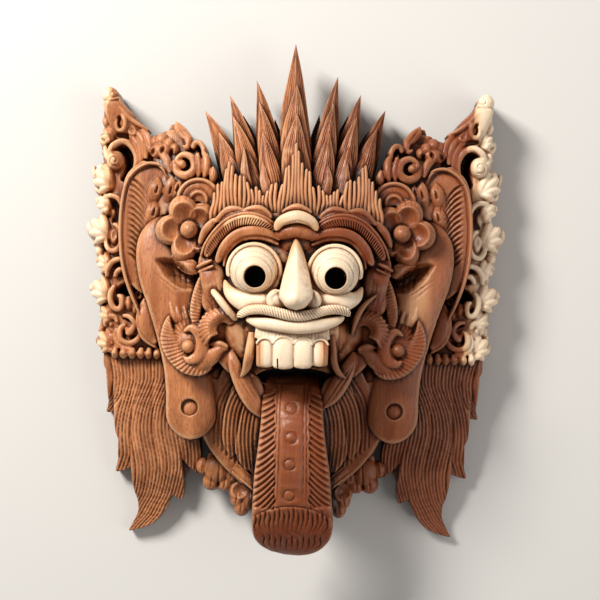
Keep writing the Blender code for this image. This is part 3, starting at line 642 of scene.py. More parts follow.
# %% Nose, lids, cheeks and lip
pair([(2 * EYE_X - x, y, top, width)
      for x, y, top, width in arc(EYE_X, EYE_Y, 14.1, 196, -86, 17, 87.6, 2.4)],
     foot=60, fullness=2.2, tip="round", root="round")
strand(((0.3, 32.2, 82, 1.4), (0.7, 27.5, 87.5, 5.6), (1.0, 21, 93, 9.6), (1.1, 14, 98.5, 13.2),
        (1.1, 8, 103.4, 15.8), (1.1, 3, 107.4, 17.6), (1.1, -0.6, 109.2, 17.8), (1.1, -3.8, 107.8, 15.2),
        (1.1, -6.9, 103.6, 10.4)), foot=66, fullness=1.4, dome=0.7, step=0.6, root="point",
       tip="round", blunt=0.45)
lump(1.1, -1.2, 100.5, 7.4, 5.6, 8.2)
pair(((8.2, -5.6, 95, 3), (11.6, -4.2, 97, 4.2), (12.6, -0.6, 97, 4.4), (10.2, 2.4, 97, 3.6),
      (7.2, 2.6, 96, 2)), foot=84, dome=0.45, tip="round", root="round")
lump_pair(8.4, -1.4, 90, 6.4, 5.0, 7.4)
strand(((-38.4, 9.0, 78, 1), (-35.0, 2.2, 85, 7), (-27.6, -2.2, 89.5, 11.4), (-18, -3.8, 91.5, 11.6),
        (-8, -3.4, 92, 9)), foot=58, fullness=2.2, dome=0.36, tip="flat", root="point")
strand(((37.4, 6.6, 78, 1), (34.0, 0.8, 85, 6.6), (27.0, -1.8, 89.5, 11), (18, -3.4, 91.5, 11.4),
        (9, -3.2, 92, 9)), foot=58, fullness=2.2, dome=0.36, tip="flat", root="point")
strand(((-26, -12.2, 88, 2), (-19.4, -14.0, 94, 5.4), (-11.6, -14.6, 97.5, 6.6), (-4.6, -15.4, 99, 7.2),
        (3.4, -15.9, 99.5, 7.4), (11.4, -15.2, 98.5, 7), (18.4, -13.8, 96.5, 6), (24, -12, 93, 4.4),
        (27.6, -10.2, 88, 1.6)), foot=64, fullness=2.2, dome=0.44, tip="point", root="point")
strand(((-20.6, -19.4, 90, 6), (-8, -20.8, 93.4, 7), (6, -21.0, 93.4, 7), (19.6, -19.4, 90, 6)), foot=64,
       dome=0.15, fullness=3, tip="flat")
for gum_x in (-10.6, 0.4, 10.2):
    strand(((gum_x, -19.6, 91.6, 4.4), (gum_x, -22.4, 93.6, 2.8), (gum_x, -24.6, 93, 0.4)), foot=76,
           dome=0.4)
TEETH = (
    # centre x, width, top, bottom y
    (-15.2, 8.9, 93.8, -38.3), (-5.1, 11.0, 96.2, -38.9), (5.5, 9.6, 96.2, -38.4),
    (14.7, 8.7, 93.8, -37.2),
)
for x, width, _, _ in TEETH:
    band(arc(x, -27.0, width * 0.53, 16, 164, 9, 94.7 - 0.006 * x * x, 1.3), foot=78, step=0.4,
         across=0.3)
lump(0, -12, 72, 27, 13, 20, segments=64, rings=40)
face = gather("face", grain=0.45, soften=2)
gouge(face, [((x, -18.4, 0.2, 0.5), (x + 0.2, -20.6, 0.5, 0.7), (x + 0.2, -22.4, 0.2, 0.5))
             for x in np.arange(-19, 19.5, 1.9)]
      + [((-12.6, 1.2, 0.2, 0.6), (-9.6, 3.0, 0.7, 0.9), (-7.6, 0.4, 0.9, 1.0), (-7.0, -3.4, 0.6, 0.8)),
         ((14.8, 1.2, 0.2, 0.6), (11.8, 3.0, 0.7, 0.9), (9.8, 0.4, 0.9, 1.0), (9.2, -3.4, 0.6, 0.8))])

band(((-30.6, -11.6, 88, 2.6), (-28.2, -9.6, 91, 4.2), (-23.6, -7.4, 95, 5.0), (-17, -6.9, 98, 5.2),
      (-10, -8.0, 100, 5.4), (-3.5, -9.5, 101.5, 5.6), (3.5, -10.0, 101.5, 5.6), (9.9, -8.9, 100, 5.4),
      (16.8, -6.8, 98, 5.2), (23.2, -6.2, 95, 5.0), (28.2, -7.4, 91.5, 4.6), (30.4, -9.8, 88, 2.8)),
     foot=70, fullness=2.2, dome=0.4, step=0.3, across=0.35, carve=notched(1.5, 1.4, slant=1.3))
gather("moustache", grain=0, bark=2.0)

# %% [markdown]
# Four square front teeth, with a split in the second, stand between two hooked side teeth.

# %% Teeth
for x, width, top, bottom in TEETH:
    band(((x, -21.6, top - 4, width * 0.3), (x, -23.0, top - 2, width * 0.74),
          (x, -25.6, top - 0.8, width), (x, -31, top, width),
          (x, bottom + 2.4, top - 0.4, width * 0.98), (x, bottom, top - 1.6, width * 0.93)),
         foot=70, fullness=2.6, dome=0.3, across=0.35, step=0.4, blunt=0.12)
teeth = gather("teeth", grain=0.4, soften=1, bark=3.0)
bpy.ops.mesh.primitive_cube_add(size=1, location=at(-7.9, -38.2, 94))
cut(teeth, [shaped((0.8 * MM, 10 * MM, 14 * MM), turn=0.05)])

strand(((-22.0, -19.5, 86, 4.6), (-22.9, -27, 87, 5.4), (-24.2, -34.6, 85.5, 5.2),
        (-25.6, -40.0, 82, 4.0), (-28.6, -44.6, 77, 0.8)), foot=66, fullness=2.2, dome=0.42)
gather("side_tooth_left", grain=0.42, soften=1, bark=-5.0)
strand(((20.8, -20.5, 86, 3.6), (21.8, -28, 86.5, 4), (22.7, -35, 84.5, 3.6), (25, -40.4, 81, 3.2),
        (29.6, -44.2, 77, 0.8)), foot=66, fullness=2.0, dome=0.45)
gather("side_tooth_right", grain=0.42, soften=1, bark=-12.0, dark=0.3)
band(((-45.4, 3.4, 78, 3.0), (-40.4, -2.4, 82, 4.0), (-35.4, -8.4, 82, 4.0), (-31.0, -13.4, 79, 3.0)),
     foot=60, fullness=2.4, dome=0.45, blunt=0.3)
gather("left_tusk", grain=0.42, soften=1, bark=4.0)
strand(((45.6, 2.4, 76, 0.8), (38.9, -3.4, 79.5, 2.6), (34.7, -10.6, 80, 3.0), (32.1, -20.5, 76, 0.8)),
       foot=58, fullness=1.6, dome=0.6, root="point")
gather("right_tusk", grain=0.42, soften=1, bark=-12.0)
for side, name in SIDES:
    band(((49, 26, 62, 12), (46, 12, 68, 14), (43.0, 0, 68.5, 14), (40.0, -10, 64, 13),
          (35, -22, 59, 14), (29, -36, 54, 12)), foot=30, fullness=2.2, dome=0.3, across=0.8, side=side)
    # The temples' dark is painted shade.
    temple = gather("temple_" + name, grain=0.8, soften=2, bark=-20, dark=0.4)
    gouge(temple, [((44.5 + shift, 14 - 2 * shift, 0.2, 0.8), (42 + shift, 2 - 2 * shift, 0.8, 1.0),
                    (38 + shift, -8 - 2 * shift, 0.2, 0.8)) for shift in (0, 1.7, 3.4)], side=side)

# %% [markdown]
# The tongue hangs out of the open mouth over the chin: a smooth middle strip with bosses, between
# double grooves, slanting ribs to both sides, and flames cut into its end.

# %% Tongue
TONGUE = ((0, -44, 42, 27), (0.1, -50, 58, 31.5), (0.2, -58, 67, 33.5), (0.4, -70, 72.5, 35),
          (0.6, -84, 75.2, 38), (0.9, -97, 75.2, 41.6), (1.2, -112, 72, 43.8), (1.6, -125, 67, 45.4),
          (1.7, -134, 62, 43.6), (1.7, -140, 57.5, 36), (1.6, -144, 53.5, 24), (1.5, -145.9, 50.5, 9))
BOSSES = ((-0.1, -61.4), (0.0, -77.4), (-0.6, -92.2), (-0.6, -109.6))
tongue_places, _, tongue_stops = follow(TONGUE, 0.4)


def tongue_carving(out, distance, length):
    """Slanting ribs at both sides of the middle strip."""
    half = np.interp(distance, tongue_stops, tongue_places[:, 3]) / 2
    from_middle = np.abs(out) * half
    slope = -0.7 - 0.6 * np.clip((distance - 10) / 60, 0, 1)
    bend = 0.03 * np.clip(from_middle - 9, 0, 12) ** 2
    ribs = 1 - np.abs(np.sin(math.pi * (distance + slope * (from_middle - 10) + bend) / 3.3))
    wave = 0.5 * np.sin(distance * 0.62)
    zone = np.clip((from_middle - 9.4 - wave) / 0.5, 0, 1) * np.clip((distance - 8) / 3, 0, 1)
    zone = zone * np.clip((75 - 0.1 * from_middle - distance) / 1.5, 0, 1)
    border = (np.clip(1 - np.abs(from_middle - 9.6 - wave) / 0.5, 0, 1)
              * np.clip((72 - distance) / 2, 0, 1))
    return zone * (0.3 + 2.2 * ribs ** 1.1) + 0.5 * border


strand(TONGUE, depth=14, fullness=3.6, dome=0.1, across=0.35, step=0.4, carve=tongue_carving, tip="flat")
tongue = gather("tongue", grain=0, bark=-12, dark=0.42)
UPPER_FLAMES = 17
LOWER_FLAMES = 11
TONGUE_MIDDLE = 1.6
TONGUE_HALF = 22
flames = []
for index in range(UPPER_FLAMES):
    x = -20.4 + 2.75 * index
    lift = 2.6 * (1 - ((x - TONGUE_MIDDLE) / TONGUE_HALF) ** 2)
    up = -120.6 + lift + 1.3 * (index % 3)
    bend = 1.8 - 0.12 * index
    flames.append(((x * 0.96, up, 0.3, 0.8), (x + bend, up - 3.6, 1.7, 1.7),
                   (x + bend * 0.6, up - 8.4, 1.1, 1.3), (x * 0.82, up - 13.0 - lift, 0.1, 0.7)))
for index in range(LOWER_FLAMES):
    x = -15.6 + 3.4 * index
    lift = 2.0 * (1 - ((x - TONGUE_MIDDLE) / TONGUE_HALF) ** 2)
    up = -131.4 - lift + 1.1 * (index % 2)
    bend = 2.4 - 0.4 * index
    flames.append(((x, up, 0.2, 0.7), (x + bend * 0.7, up - 2.6, 1.6, 1.6),
                   (x + bend * 0.5, up - 6, 1.2, 1.3), (x * 0.8, up - 9, 0.1, 0.7)))
gouge(tongue, [((x, -50, 0.9, 1.2), (x, -62, 0.9, 1.2), (x * 1.08, -100, 0.9, 1.2),
                (x * 1.1, -113, 0.3, 0.8)) for x in (-8.0, -6.2, 6.6, 8.4)]
      + [arc(boss_x, boss_y, 3.1, 0, 352, 16, 1.0, 1.1) for boss_x, boss_y in BOSSES]
      + flames
      + [((-21, -122.5, 0.4, 0.9), (-11, -117.6, 1.2, 1.3), (1, -115.6, 1.2, 1.3), (13, -117.6, 1.2, 1.3),
          (22.6, -122.5, 0.4, 0.9)),
         ((-3.5, -130.5, 0.3, 0.8), (2, -134, 0.9, 1.3), (7, -138.5, 0.3, 0.8)),
         ((0.5, -130, 0.3, 0.8), (6, -133, 0.7, 1.1), (10, -137, 0.2, 0.8))])
slab(((0.3, -48, 50, 28), (0.3, -70, 60, 28), (0.3, -96, 52, 24), (0.3, -112, 32, 14)), foot=16,
     dome=0.2, across=1.5, step=2)
gather("tongue_root", grain=1.2, soften=1, bark=-12, dark=0.4)

# %% [markdown]
# The corners of the mouth end in leaves, and locks of beard fall from the jaw behind the tongue.

# %% Beard and the mouth's corners
BEARD = (
    ((33, -44, 48, 14), (38, -58, 43, 16), (41.4, -73, 36, 13), (43.2, -82.6, 31, 0.8)),
    ((26, -50, 51, 14), (30, -65, 46, 16), (33.6, -82, 38, 13), (34.6, -93.6, 31, 0.8)),
    ((21, -56, 52, 10), (24, -76, 46, 13), (26.4, -90, 38, 11), (25.0, -101.4, 31, 0.8)),
    ((17, -62, 50, 7), (19.4, -84, 42, 9), (20.6, -98, 34, 7), (19.6, -108.6, 29, 0.8)),
)
BEARD_LINES = 11
pair(((36, -48, 45, 38), (37, -70, 39, 34), (31, -88, 31, 28), (22, -106, 25, 15)), foot=8, fullness=4,
     dome=0.06, across=1, step=1.5, tip="flat")
lump_pair(45.5, -45, 33, 8, 11, 11)
for route in BEARD:
    pair(route, foot=14, fullness=5, dome=0.08, across=0.7)
beard = gather("beard", grain=0.56, soften=1, bark=-6)
shares = [index / (BEARD_LINES - 1) for index in range(BEARD_LINES)]
gouge(beard, both([((33 - 15 * share, -44 - 16 * share, 1.3, 1.7),
                    (41.5 - 20.5 * share, -58 - 12 * share, 1.5, 1.9),
                    (44.4 - 22.5 * share, -73 - 13 * share, 1.5, 1.9),
                    (44.6 - 25 * share, -85 - 24 * share, 1.3, 1.7)) for share in shares]))

strand(((35, -30, 63, 3), (32.6, -38, 66, 7), (28.4, -47, 66.5, 9.6), (23.6, -55.6, 66, 10.4),
        (19.4, -62.6, 64.5, 7.6), (15.4, -68.2, 61, 0.8)), foot=36, fullness=2.2, dome=0.3, side=-1)
strand(((34.6, -30, 63, 3), (31.8, -37, 66, 7), (28.2, -44.6, 66.5, 9.4), (24, -51.6, 66, 9.6),
        (20.2, -57.2, 64.5, 7), (15.8, -62.4, 61, 0.8)), foot=36, fullness=2.2, dome=0.3)
pair(((27, -42, 60, 3), (22.4, -48.5, 63, 8), (18.8, -55, 62, 7), (16.6, -60, 59, 1)), foot=36,
     fullness=2, dome=0.3)
pair(((42.6, -22, 61, 5), (39.8, -31, 63, 8.6), (35.4, -38.6, 62, 7.6), (31.6, -45.6, 57, 1)), foot=34,
     dome=0.36)
# Their dark is painted shade, as at the temples.
corners = gather("mouth_corners", grain=0.5, soften=1, bark=-6, dark=0.12)
gouge(corners, both([((34.4, -36, 0.3, 0.9), (30.0 - shift, -45, 0.9, 1.3),
                      (25.0 - shift, -53, 0.9, 1.3), (19.6 - shift, -61, 0.3, 0.9))
                     for shift in (0, 2.6)]))

# %% [markdown]
# A collar runs from each lobe down to the tongue, and small clusters of leaves hang below it.

# %% Collar and its leaves
pair(((48.5, -80, 25, 3), (43, -89, 27, 6.4), (34, -98.5, 28, 7.4), (19, -111, 29, 6.4)), foot=4,
     fullness=3.4, dome=0.14, tip="flat")
pair(((46, -72, 20, 16), (41, -86, 20, 18), (31, -100, 19, 16), (20, -112, 19, 10)), foot=0, fullness=4,
     dome=0.1, across=1, tip="flat")
LEAF_LOBES = (
    # centre x, centre y, top, half width, half height
    (43.4, -101.5, 24.5, 6.6, 7.6), (46.4, -109.2, 21.5, 4.6, 4.8), (38.6, -109.6, 21.5, 4.4, 4.4),
    (51.6, -100.4, 20, 3.6, 4.6), (34.6, -104.0, 23, 3.6, 5.0),
    (28.6, -123.6, 20, 4.0, 5.4), (24.0, -120.0, 21, 4.4, 5.6), (31.4, -119.0, 21, 3.4, 4.4),
)
for x, y, top, across, up in LEAF_LOBES:
    lump_pair(x, y, top - 6, across + 0.8, up + 0.8, 5)
lump_pair(30.2, -114.6, 15, 6.4, 6.4, 7, carve=lambda east, north: 4.6
          * np.clip(1 - ((east - 0.1) ** 2 + (north - 0.1) ** 2) / 0.5, 0, 1))
pair(((44, -92, 20, 10), (43, -104, 18, 13), (42, -111, 16, 8)), foot=2, fullness=3, dome=0.1,
     tip="round")
collar = gather("collar", grain=0.5, soften=1, bark=-6)
collar_edges = [[(x + shift * 0.7, y - shift * 0.7, deep, 1.2) for x, y, deep in
                 ((48, -81, 0.9), (42.6, -89.4, 1.1), (33.6, -98.9, 1.1), (19, -111, 0.9))]
                for shift in (-1.7, 1.9)]
leaf_veins = [((x - 0.4, y + up * 0.9, 0.4, 1.0), (x, y, 1.1, 1.4), (x + 0.4, y - up * 0.6, 0.8, 1.4))
              for x, y, _, _, up in LEAF_LOBES[1:]]
main_vein = ((41.2, -96, 0.3, 0.9), (42, -104, 1.3, 1.5), (42.6, -111, 2.6, 2.6))
gouge(collar, both(collar_edges + leaf_veins + [main_vein]))

# %% [markdown]
# Long flat locks hang below the wings. Wavy grooves run the whole length of each lock.

# %% Hair falls
HAIR_LOCKS = (
    ((107.0, -34, 22, 8), (107.4, -42, 20, 7), (105.5, -49, 17.5, 1)),
    ((104.0, -34, 23, 12), (103.0, -48, 20.5, 13), (102.6, -57, 18, 13), (104.6, -64.5, 14.5, 9.5),
     (110.2, -70.4, 9.5, 0.6)),
    ((98.8, -33, 24, 14), (98.2, -68, 19.5, 13), (98.6, -82, 16.5, 10), (97.4, -90, 14, 1)),
    ((95.6, -34, 24, 16), (95.4, -62, 21, 15), (95.6, -84, 17.5, 13), (97.4, -97.5, 13.5, 11),
     (104.2, -105.6, 9, 0.6)),
    ((90, -33, 23.5, 14), (88.8, -96, 16.5, 12), (88.2, -116, 12.5, 8.5), (88.6, -124, 10, 1)),
    ((84, -34, 25, 24), (82, -70, 21.5, 24), (80.4, -100, 17.5, 23), (80.6, -117, 13.5, 21),
     (84.6, -130.5, 10, 13), (95.8, -141.0, 7, 0.6)),
    ((75, -33, 26, 16), (73, -80, 22, 15), (70.2, -104, 17.5, 12.5), (67.0, -115, 13.5, 9),
     (63.9, -121, 11, 0.6)),
    ((64, -62, 25, 16), (61.4, -82, 21.5, 14), (58.4, -95, 17.5, 11), (54.6, -105.6, 13, 0.6)),
)
HAIR_GROOVES = 31


def waved(route):
    """The same route with waves to both sides."""
    places = np.array(route, float)
    downs = np.linspace(places[0, 1], places[-1, 1], 2 + int((places[0, 1] - places[-1, 1]) / 6))
    outs = np.interp(-downs, -places[:, 1], places[:, 0])
    return [(x + 1.9 * math.sin((y + 0.35 * x) / 9.5), y) for x, y in zip(outs, downs)]


def hair_lines():
    """Wavy grooves that run down a hair fall and turn outwards with each lock's tip."""
    lines = []
    for index in range(HAIR_GROOVES):
        x = 46 + 2.05 * index
        deep = 1.3 if index % 3 else 1.6
        if x > 99.5:
            route = ((x, -33), (x - 0.6, -50), (x + 0.6, -60), (x + 7.5, -71))
        elif x > 89.5:
            route = ((x, -33), (x - 0.4, -50), (x + 1.6, -64), (x + 2.6, -82), (x + 3.6, -94),
                     (x + 9.5, -106.5))
        else:
            route = ((x, -33), (x - 0.6, -50), (x + 2.6, -64), (x + 4.2, -80), (x + 4.0, -102),
                     (x + 5.0, -118), (x + 9.6, -130), (x + 20, -142))
        lines.append([(*place, deep, 1.5) for place in waved(route)])
    return lines


for side, name in SIDES:
    for route in HAIR_LOCKS:
        strand(route, foot=1, fullness=5, dome=0.07, across=0.8, side=side)
    hair = gather("hair_" + name, grain=0.58, soften=1, bark=-6)
    gouge(hair, hair_lines(), side=side)

# %% [markdown]
# Above each ear's smooth shell stands a ribbed leaf with a thin rim. The shell is hollowed at the
# cheek and runs down into a heavy lobe. A low knob stands in the hole drilled there, as on the long
# ears of temple figures.

# %% Ears
LOBE_X = 58.4
LOBE_Y = -63.8
LOBE_RADIUS = 4.9
EAR_RIM = ((74.4, 57, 38, 1.2), (74.2, 66, 39, 1.8), (77.6, 73.2, 40, 1.9), (83.4, 75.4, 40, 1.9),
           (89.1, 73.8, 40, 1.9), (94.9, 68.8, 40, 1.9), (99.0, 59.7, 40, 1.9), (100.8, 42.5, 40, 1.9),
           (100.2, 25.2, 40, 1.9), (97.6, 11, 40, 1.9), (93, -2, 39, 1.8), (88.5, -12, 37, 1.2))
EAR_LEAVES = ((79.8, 61.6), (81.2, 48.6))
EAR_RIBS = 14
# The right ear's dark below 0 paints light on it, against the painted shade of the right side.
EAR_DARK = {1: -0.12, -1: 0.0}
CONCH = ((76, 45, 42, 12), (77, 38, 45.5, 22), (76.6, 26, 48, 29), (74.2, 12, 50, 30),
         (69.6, -3, 50.5, 28.6), (65, -20, 50, 27.2), (60.6, -38, 49, 27.2), (58.4, -54, 48, 28),
         (57.8, -66, 46.5, 29), (57.8, -75.4, 44.5, 27.8), (57.8, -82.6, 42.5, 24.6))
for side, name in SIDES:
    strand(((84, 76, 36, 10), (86, 66, 38, 25), (87.2, 50, 39, 27), (87.6, 32, 39, 26),
            (87.4, 14, 38.5, 22), (85, 0, 36, 12)),
           foot=4, fullness=4, dome=0.07, across=0.8, tip="round", side=side)
    band(EAR_RIM, foot=6, fullness=2.4, across=0.4, side=side)
    for leaf_x, leaf_y in EAR_LEAVES:
        band(((leaf_x + 5.0, leaf_y - 13, 37, 2), (leaf_x + 2.4, leaf_y - 6, 41.4, 7.6),
              (leaf_x + 0.6, leaf_y + 0.5, 42.4, 8.0), (leaf_x - 0.2, leaf_y + 6.0, 39, 2.4)), foot=14,
             dome=0.34, side=side)
    for leaf_x, leaf_y, width in ((71.6, 66.6, 6.4), (67.2, 64.6, 4.6)):
        band(((leaf_x + 2.6, leaf_y - 16, 40, 4), (leaf_x + 1.4, leaf_y - 8, 43, width),
              (leaf_x + 0.2, leaf_y - 2, 43, width * 0.8), (leaf_x, leaf_y + 1.6, 41, 1.2)), foot=14,
             dome=0.34, side=side)
    leaf = gather("ear_leaf_" + name, grain=0.52, soften=1, bark=-22, dark=EAR_DARK[side])
    gouge(leaf, [((96.4, 66.4 - 3.3 * index, 0.3, 1.0), (93.2, 65.4 - 3.35 * index, 2.0, 2.1),
                  (88.8, 61.6 - 3.4 * index, 2.2, 2.2), (85.4, 56.0 - 3.4 * index, 0.4, 1.2))
                 for index in range(EAR_RIBS)]
          + [[(x - 2.0 * (x > 77), y - 1.4 * (y > 70), 0.9, 1.3) for x, y, _, _ in EAR_RIM[1:]]]
          + [((leaf_x - 0.6, leaf_y + 1.4, 0.6, 0.8), (leaf_x, leaf_y - 0.6, 2.4, 1.7),
              (leaf_x + 0.6, leaf_y - 3.0, 2.0, 2.4))
             for leaf_x, leaf_y in EAR_LEAVES + ((71.8, 61.2), (67.8, 62.4))]
          + [((leaf_x + 5, leaf_y - 4, 0.3, 0.8), (leaf_x + 3.2, leaf_y - 9, 1.0, 1.1),
              (leaf_x + 3.4, leaf_y - 13, 0.3, 0.8)) for leaf_x, leaf_y in EAR_LEAVES], side=side)
    band(CONCH, foot=2, fullness=2.4, dome=0.22, across=0.7, blunt=0.48, side=side)
    band(((69, 22, 50, 4), (63.5, 18.4, 55, 8), (57.6, 15.8, 56.5, 8.4), (52.6, 16.6, 54, 4)), foot=20,
         dome=0.35, side=side)
    for wisp_x, wisp_y in ((70.2, -4.0), (66.4, -6.2), (62.2, -6.6), (58.6, -4.4)):
        strand(((wisp_x - 6.5, wisp_y - 15, 50, 2), (wisp_x - 2.4, wisp_y - 8, 52.6, 3.8),
                (wisp_x, wisp_y, 51, 0.6)), foot=36, side=side)
    ear = gather("ear_" + name, grain=0.68, soften=2, bark=-22, dark=EAR_DARK[side])
    cut(ear, [drill(side * LOBE_X, LOBE_Y, LOBE_RADIUS, 44.4, 80)])
    gouge(ear, [((79, 19.6, 0.6, 2.0), (73, 17.0, 6.0, 9.0), (67, 12.4, 10.0, 13.0),
                 (60.6, 8.4, 9.0, 11.0), (54.5, 8.4, 4, 6))], steep=1.25, side=side)
    gouge(ear, [((79.5, 12, 0.3, 0.8), (72, 6.6, 1.1, 1.4), (66.5, 2.6, 0.9, 1.2)),
                ((71.5, 18, 0.3, 0.8), (68.5, 11, 1.3, 1.4), (67.5, 5, 0.4, 1.0)),
                ((68, 18, 0.3, 0.8), (65.4, 11, 1.3, 1.4), (64.5, 4, 0.4, 1.0)),
                ((64.5, 16.6, 0.3, 0.8), (62.2, 10, 1.3, 1.4), (61.5, 3, 0.4, 1.0)),
                ((78.5, 9, 0.3, 0.8), (71, 2.6, 0.9, 1.2), (66.6, -1.2, 0.5, 1.0)),
                ((64.6, 21.4, 0.3, 0.8), (60, 18.8, 0.8, 1.2), (55, 18.2, 0.5, 1.0))], side=side)
    lump(side * (LOBE_X - 0.3), LOBE_Y - 0.2, 41, 6.0, 6.0, 4.8)
    gather("lobe_knob_" + name, grain=0.5, soften=1, bark=-22)

# %% [markdown]
# A flower sits at each temple, with a disc of rings behind it.

# %% Flowers
FLOWER = (60.0, 37.0)
RING_DISC = (55.4, 54)
PETALS = ((63.7, 47.6, 8.2, 7.6), (52.4, 44.2, 7.2, 7.8), (71.0, 36.6, 7.6, 7.8),
          (62.6, 27.4, 8.4, 6.8), (53.6, 29.6, 5.6, 5.2))
for side, name in SIDES:
    for petal_x, petal_y, across, up in PETALS:
        angle = math.atan2(petal_y - FLOWER[1], petal_x - FLOWER[0])
        turn = angle if side > 0 else math.pi - angle
        lump(side * petal_x, petal_y, 51.5, across + 0.7, up + 0.6, 7.4, turn=turn, segments=48,
             rings=30, carve=lambda east, north: 6.0
             * np.clip(1 - ((east + 0.3) ** 2 + north ** 2) / 0.62, 0, 1))
    lump(side * FLOWER[0], FLOWER[1], 54.5, 5, 5, 6.4)
    lump(side * FLOWER[0], FLOWER[1], 42, 13, 13, 11)
    slab(arc(*RING_DISC, 5.8, 200, -20, 11, 50, 11.6), foot=30, dome=0.06, side=side)
    for radius, top in ((11.6, 51.4), (4.6, 51.8)):
        strand(arc(*RING_DISC, radius, 195, -15, 13, top, 2.2), foot=30, tip="round", side=side)
    flower = gather("flower_" + name, grain=0.48, soften=1, bark=-12, dark=-0.12)
    gouge(flower, [arc(*RING_DISC, radius, 185, -5, 15, 0.9, 1.1) for radius in (6.4, 9.9)]
          + [arc(*FLOWER, 5.4, 0, 355, 15, 0.8, 1.2)], side=side)

# %% [markdown]
# A shell curls at each corner of the jaw: a ribbed disc with a toothed rim, round a smooth hook.
# Toothed bands and small fans of blades fill the cheeks.

# %% Jaw shells and cheeks
SHELL_X = 56.6
SHELL_Y = -28.0
SHELL_RIBS = 30
FAN_X = 39
FAN_Y = -18.6
FAN_BLADE = (
    # half width and half height of the oval a place lies on, turn, top, width
    (3.8, 3.8, 0, 66.5, 1.0), (8.6, 8.2, 0.16, 69.0, 1.7), (14.2, 12.8, -0.08, 66.0, 2.2),
)
FAN_BLADES = 15


def shell_ribs(east, north):
    """Ribs that turn a little as they run out from a shell's middle."""
    far = np.hypot(east, north)
    return (1.5 * np.clip(far * 3 - 0.6, 0, 1)
            * (0.5 + 0.5 * np.sin(SHELL_RIBS * np.arctan2(north, east) + 6 * far)))


for side, name in SIDES:
    lump(side * (SHELL_X + 1.5), SHELL_Y + 1, 45, 14.5, 15.5, 16.4, segments=160, rings=60,
         carve=lambda east, north, way=side: shell_ribs(east * way, north))
    strand(((70.4, -11.6, 54, 0.8), (71.2, -17.5, 58, 5), (69.8, -25.5, 60.5, 9.8),
            (65.8, -33.2, 62, 10.4), (59.5, -39.2, 62.5, 9.6), (52, -41.0, 62, 8), (46, -39, 61, 4)),
           foot=30, fullness=2.4,
           dome=0.24, step=0.35, across=0.4, carve=notched(2.1, 1.5, slant=1.4, fade=2), root="point",
           side=side)
    strand(((56.6, -39.8, 61, 6), (50.4, -37.2, 64, 9.6), (44.4, -33.2, 65.5, 8.6), (40, -30, 66, 4.6),
            (36.2, -29.6, 65, 0.8)), foot=32, fullness=2.2, dome=0.36, step=0.35, root="round",
           carve=notched(1.7, 0.35, slant=2.6, fade=2), side=side)
    strand(((61.6, -20.6, 62, 1), (57.2, -18.4, 64, 4.2), (52.6, -21.4, 65, 6.4),
            (50.6, -27.5, 65.5, 7.6), (52.4, -33.6, 65.5, 7.2), (57.6, -36.2, 65, 4.6),
            (61, -34.4, 64, 1.6)), foot=34, fullness=2.2,
           dome=0.34, root="point", tip="round", side=side)
    lump(side * 58.6, -28.6, 61.5, 3.8, 3.8, 4.6)
    band(((50.4, 12.4, 60, 3.6), (52.2, 6.2, 61.5, 5.8), (53.9, -0.6, 62.5, 6.4), (55, -7, 62.5, 6.2),
          (54.9, -12.8, 62, 5.4), (53.2, -17.4, 61, 3.6)), foot=30, fullness=3, dome=0.2, step=0.35,
         carve=notched(1.9, 1.2, slant=0.5, fade=1), side=side)
    band(((45, 10, 64, 4), (47, 2, 66, 8), (47, -5, 66, 8), (45, -10, 64, 3)), foot=34, dome=0.3,
         side=side)
    for index in range(FAN_BLADES):
        angle = math.radians(-40 + 12.4 * index)
        strand([(FAN_X + east * math.cos(angle + turn), FAN_Y + north * math.sin(angle + turn), top,
                 width) for east, north, turn, top, width in FAN_BLADE], foot=46, tip="round", side=side)
    lump(side * 44, -17, 54, 10, 12, 10)
    band(((46.5, -27.4, 63, 2), (41.4, -26.6, 66, 3.4), (36, -28.6, 66, 2)), foot=40, side=side)
    band(((37, -33, 57, 5), (32.6, -34, 59, 7), (30, -27, 59, 5), (31, -20, 57, 2)), foot=40,
         dome=0.35, side=side)
    gather("jaw_" + name, grain=0.45, soften=1, bark=-12)

# %% [markdown]
# The wings beside the ears are full of scrolls, tendrils and small knobs. Clusters of leaves point
# outwards along the edge, and a horn with a curled cap stands at the top. The deepest places are
# cut into the wing's body first, and the finer forms are then laid over it.

# %% Wings
VOIDS = (
    # where the carver cut deepest, as (x, y, depth, width)
    ((103.8, 84.2, 9, 3.6), (99.8, 83.2, 15, 6), (97.2, 78.6, 17, 8), (97.4, 72.6, 16, 8),
     (100.4, 67.6, 13, 5)),
    ((107.1, 52.9, 4, 3), (104.2, 50.6, 6, 4.6), (103.6, 46.6, 6, 4.6), (106.0, 42.8, 4.5, 3.4)),
    ((101.4, 1.6, 12, 6), (97.4, 2.4, 20, 9.5), (93.2, 3.2, 18, 8), (90.2, 3.2, 12, 5)),
    ((103.8, 102.4, 3, 2.4), (103.6, 98.4, 4, 3.4), (102.6, 96.0, 3, 2.4)),
    ((104.6, 92.6, 4, 3), (100.2, 92.0, 5, 3.6), (97.6, 91.0, 3, 2)),
    ((107.0, 16.2, 3, 2), (103.4, 17.4, 3.5, 2.6), (99.6, 16.8, 2.5, 1.8)),
    ((102.0, 10.8, 3, 2), (98.4, 10.8, 3.5, 2.6), (95.4, 8.8, 2.5, 1.8)),
    ((104.2, -4.4, 3.5, 2.2), (103.2, -6.4, 4, 2.6)),
    ((98.8, -13.6, 3.5, 2.2), (95.4, -14.8, 4, 2.8), (92.0, -14.6, 3, 2)),
    ((98.6, -24.6, 3.5, 2.2), (98.4, -21.0, 3.5, 2.4)), ((94.4, -25.2, 3, 2), (91.4, -24.8, 3.5, 2.2)),
    ((106.4, -34.2, 3.5, 2.2), (103.4, -33.4, 3, 2)), ((111.6, 64.4, 3, 2), (108.6, 66.8, 3.5, 2.4)),
    ((113.2, 57.8, 3, 1.8), (110.0, 57.8, 3.5, 2.2)), ((109.8, 22.8, 3, 2), (109.0, 17.8, 3, 2)),
)
